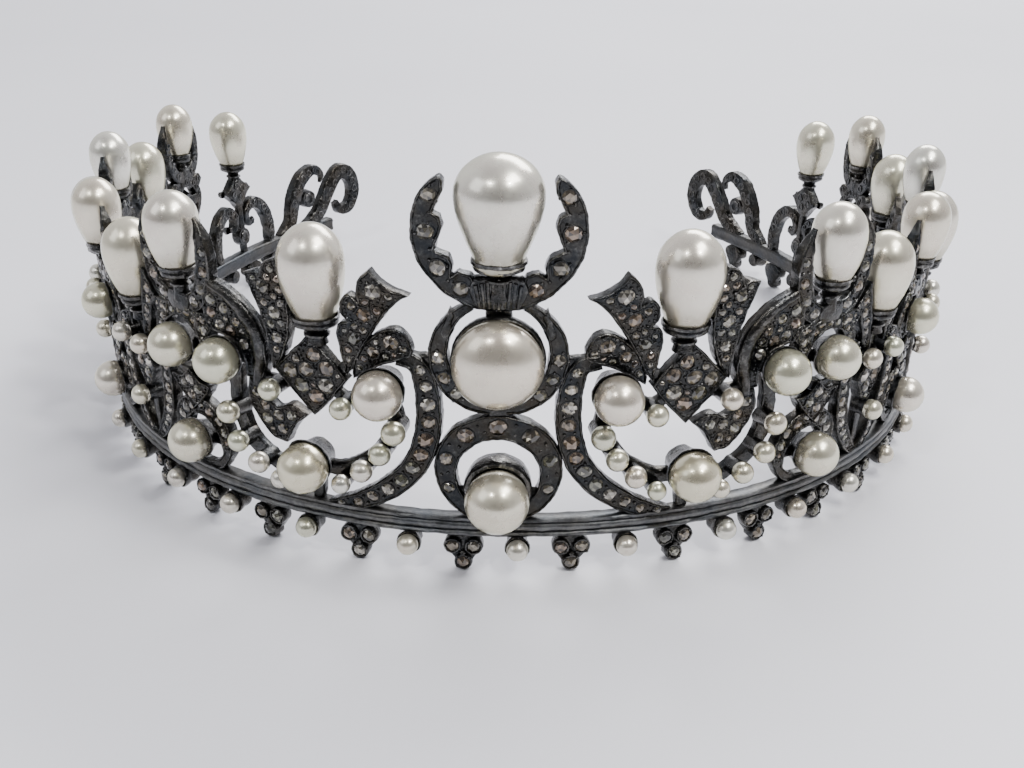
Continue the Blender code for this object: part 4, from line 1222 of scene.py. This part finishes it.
def build_pearls():
    """The main pearls, each in the place of its node."""
    drop("middle_drop", 0, 46.2, 15, 5.8, 0.08, SLIM_PROFILE, 0.004)
    ball("middle_button", 0, BUTTON_HEIGHT, BUTTON_OUT, 6.1, 0.3, 0.7)
    ball("middle_low_pearl", 0, 13.9, 5.2, 4.4, 0.42)
    for tail, side in SIDES:
        tones = random.Random(side)
        drop("front_drop" + tail, side * FRONT_DROP, FRONT_DROP_FOOT, 13.6, FRONT_DROP_RADIUS, 0.16)
        for name, x, y, radius, out in ROUND_PEARLS:
            ball("front_" + name + "_pearl" + tail, side * x, RAIL_MID + y, out, radius,
                 tones.uniform(0.1, 1))
        for name, station, size, radius, tall, button, low in MOTIFS:
            drop(name + "_crescent_drop" + tail, side * station, RAIL_MID + MOTIF_CUP * size, tall,
                 radius, tones.uniform(0, 0.5))
            places = motif_pearls(size, button, low)
            for kind, (x, y, out, wide) in zip(("_button", "_low_pearl"), places):
                ball(name + kind + tail, side * x, y, out, wide, tones.uniform(0.1, 1))
        for name, station, wide, tall, radius, high in PANELS:
            drop(name + "_panel_drop" + tail, side * station, RAIL_MID + PANEL_CUP * tall, high,
                 radius, tones.uniform(0, 0.6))
        drop("end_drop" + tail, side * END_STATION, END_BOTTOM, 11.8, 3.9, tones.uniform(0.1, 0.6))


def small_pearls(name, rows):
    """Many small pearls in one piece. A row is length, height, distance out and radius."""
    joined = bmesh.new()
    for index, (length, height, out, radius) in enumerate(rows):
        rings = round_rings(radius, DICE.uniform(0.9, 1), 12)
        mesh = pearl_mesh("small", rings, frame_of(length, height, out, True), name + str(index),
                          DICE.uniform(0, 0.8))
        joined.from_mesh(mesh)
        bpy.data.meshes.remove(mesh)
    mesh = bpy.data.meshes.new(name)
    joined.to_mesh(mesh)
    joined.free()
    mesh.shade_smooth()
    pearl_piece(name, mesh)


def build_small_pearls():
    """The pearls too small for a solid of their own, and the tubes of the front ones."""
    metal = Batch()
    for tail, side in SIDES:
        rows = []
        for x, y, radius in FRONT_SMALL:
            rows.append((side * x, RAIL_MID + y, FRONT_SMALL_OUT, radius))
            tube(metal, (side * x, RAIL_MID + y), FRONT_SMALL_OUT, radius)
        for name, station, wide, tall, drop_radius, high in PANELS:
            for x, y, radius in PANEL_SMALL:
                rows.append((side * (station + (x - FRONT_CENTRE) * wide), RAIL_MID + y * tall,
                             PANEL_SMALL_OUT, radius))
        small_pearls("panel_small_pearls" + tail, rows)
        small_pearls("fringe_pearls" + tail, [
            (station, FRINGE_HEIGHT, FRINGE_OUT, FRINGE_PEARL)
            for station, cup in fringe_stations() if cup and station * side > 0])
    finish_mesh(metal, "front_panel_tubes", SILVER)


def build_floor():
    """A pale floor for the tiara to stand on, three metres to each side."""
    mesh = bpy.data.meshes.new("floor")
    mesh.from_pydata([(-3, -3, 0), (3, -3, 0), (3, 3, 0), (-3, 3, 0)], [], [(0, 1, 2, 3)])
    look, n = new_look("floor_paper")
    colour = n.ramp(n.noise(4, 2), ((0.3, (0.79, 0.79, 0.845)), (0.7, (0.85, 0.85, 0.9))))
    n.set(Base_Color=colour, Roughness=0.55, Normal=n.bump(n.noise(900, 4), 0.00005, 0.3))
    mesh.materials.append(look)
    floor = place_object("floor", mesh)


def build_world():
    """Light from all round that grows from the front of the room to its back."""
    world = bpy.data.worlds.new("studio")
    bpy.context.scene.world = world
    world.use_nodes = True
    n = Nodes(world.node_tree, "Background")
    split = n.new("SeparateXYZ", {0: n.new("TexCoord").outputs["Generated"]})
    ramp = n.new("MapRange", {"Value": split.outputs["Y"], "From Min": -1, "From Max": 0.6,
                              "To Min": 0.07, "To Max": 1.22})
    n.set(Color=(0.8, 0.8, 0.845, 1), Strength=ramp.outputs["Result"])


# Lights: name, place and target in metres, width and depth, power, and colour.
LIGHTS = (
    ("key", (0.38, -0.22, 0.75), (0, 0, 0.02), (0.36, 0.28), 4.4, (1, 0.99, 0.97)),
    ("fill", (-0.7, -0.35, 0.6), (0, 0, 0.02), (0.5, 0.5), 1.4, (0.94, 0.96, 1)),
    ("back", (0.35, 0.9, 0.8), (0.05, 0.3, 0), (0.9, 0.5), 16, (0.98, 0.98, 1)),
    ("glint_right", (0.3, -0.42, 0.62), (0, 0, 0.02), (0.05, 0.04), 1.5, (1, 1, 1)),
    ("glint_left", (-0.26, -0.5, 0.7), (0, 0, 0.02), (0.045, 0.045), 1.1, (1, 1, 1)),
)


def build_lights():
    """Soft lights round the tiara, and two small ones for glints."""
    for name, place, target, size, power, colour in LIGHTS:
        data = bpy.data.lights.new(name, "AREA")
        data.shape = "RECTANGLE"
        data.size, data.size_y = size
        data.energy = power
        data.color = colour
        light = place_object(name, data)
        light.location = place
        light.rotation_euler = (Vector(target) - Vector(place)).to_track_quat("-Z", "Y").to_euler()


# The camera: focal length against the picture's width, place from the rail's front, and turns.
SENSOR = 36
FOCAL_SHARE = 1300 / 1024
CAMERA_PLACE = (5.874, -158.957, 93.558)
PITCH, YAW, ROLL = 0.424, -0.026, 0.01


def build_camera():
    """The camera, at the photograph's angle."""
    data = bpy.data.cameras.new("camera")
    data.sensor_width = SENSOR
    data.lens = FOCAL_SHARE * SENSOR
    data.clip_start = 0.01
    data.clip_end = 20
    camera = place_object("camera", data)
    right = Vector((math.cos(YAW), -math.sin(YAW), 0))
    ahead = Vector((math.sin(YAW) * math.cos(PITCH), math.cos(YAW) * math.cos(PITCH),
                    -math.sin(PITCH)))
    above = right.cross(ahead)
    turned_right = right * math.cos(ROLL) + above * math.sin(ROLL)
    turned_above = above * math.cos(ROLL) - right * math.sin(ROLL)
    turn = Matrix((turned_right, turned_above, -ahead)).transposed().to_4x4()
    place = (np.array(CAMERA_PLACE) + (0, SHIFT, RAIL_MID)) * MM
    camera.matrix_world = Matrix.Translation(place) @ turn
    bpy.context.scene.camera = camera


build_rail()
build_fringe()
build_middle()
build_front_panel()
for name, station, size, drop_radius, drop_tall, button, low in MOTIFS:
    build_motif(name, station, size, drop_radius, button, low)
for row in PANELS:
    build_panel(*row[:5])
build_end()
build_pearls()
build_small_pearls()
build_floor()
build_world()
build_lights()
build_camera()
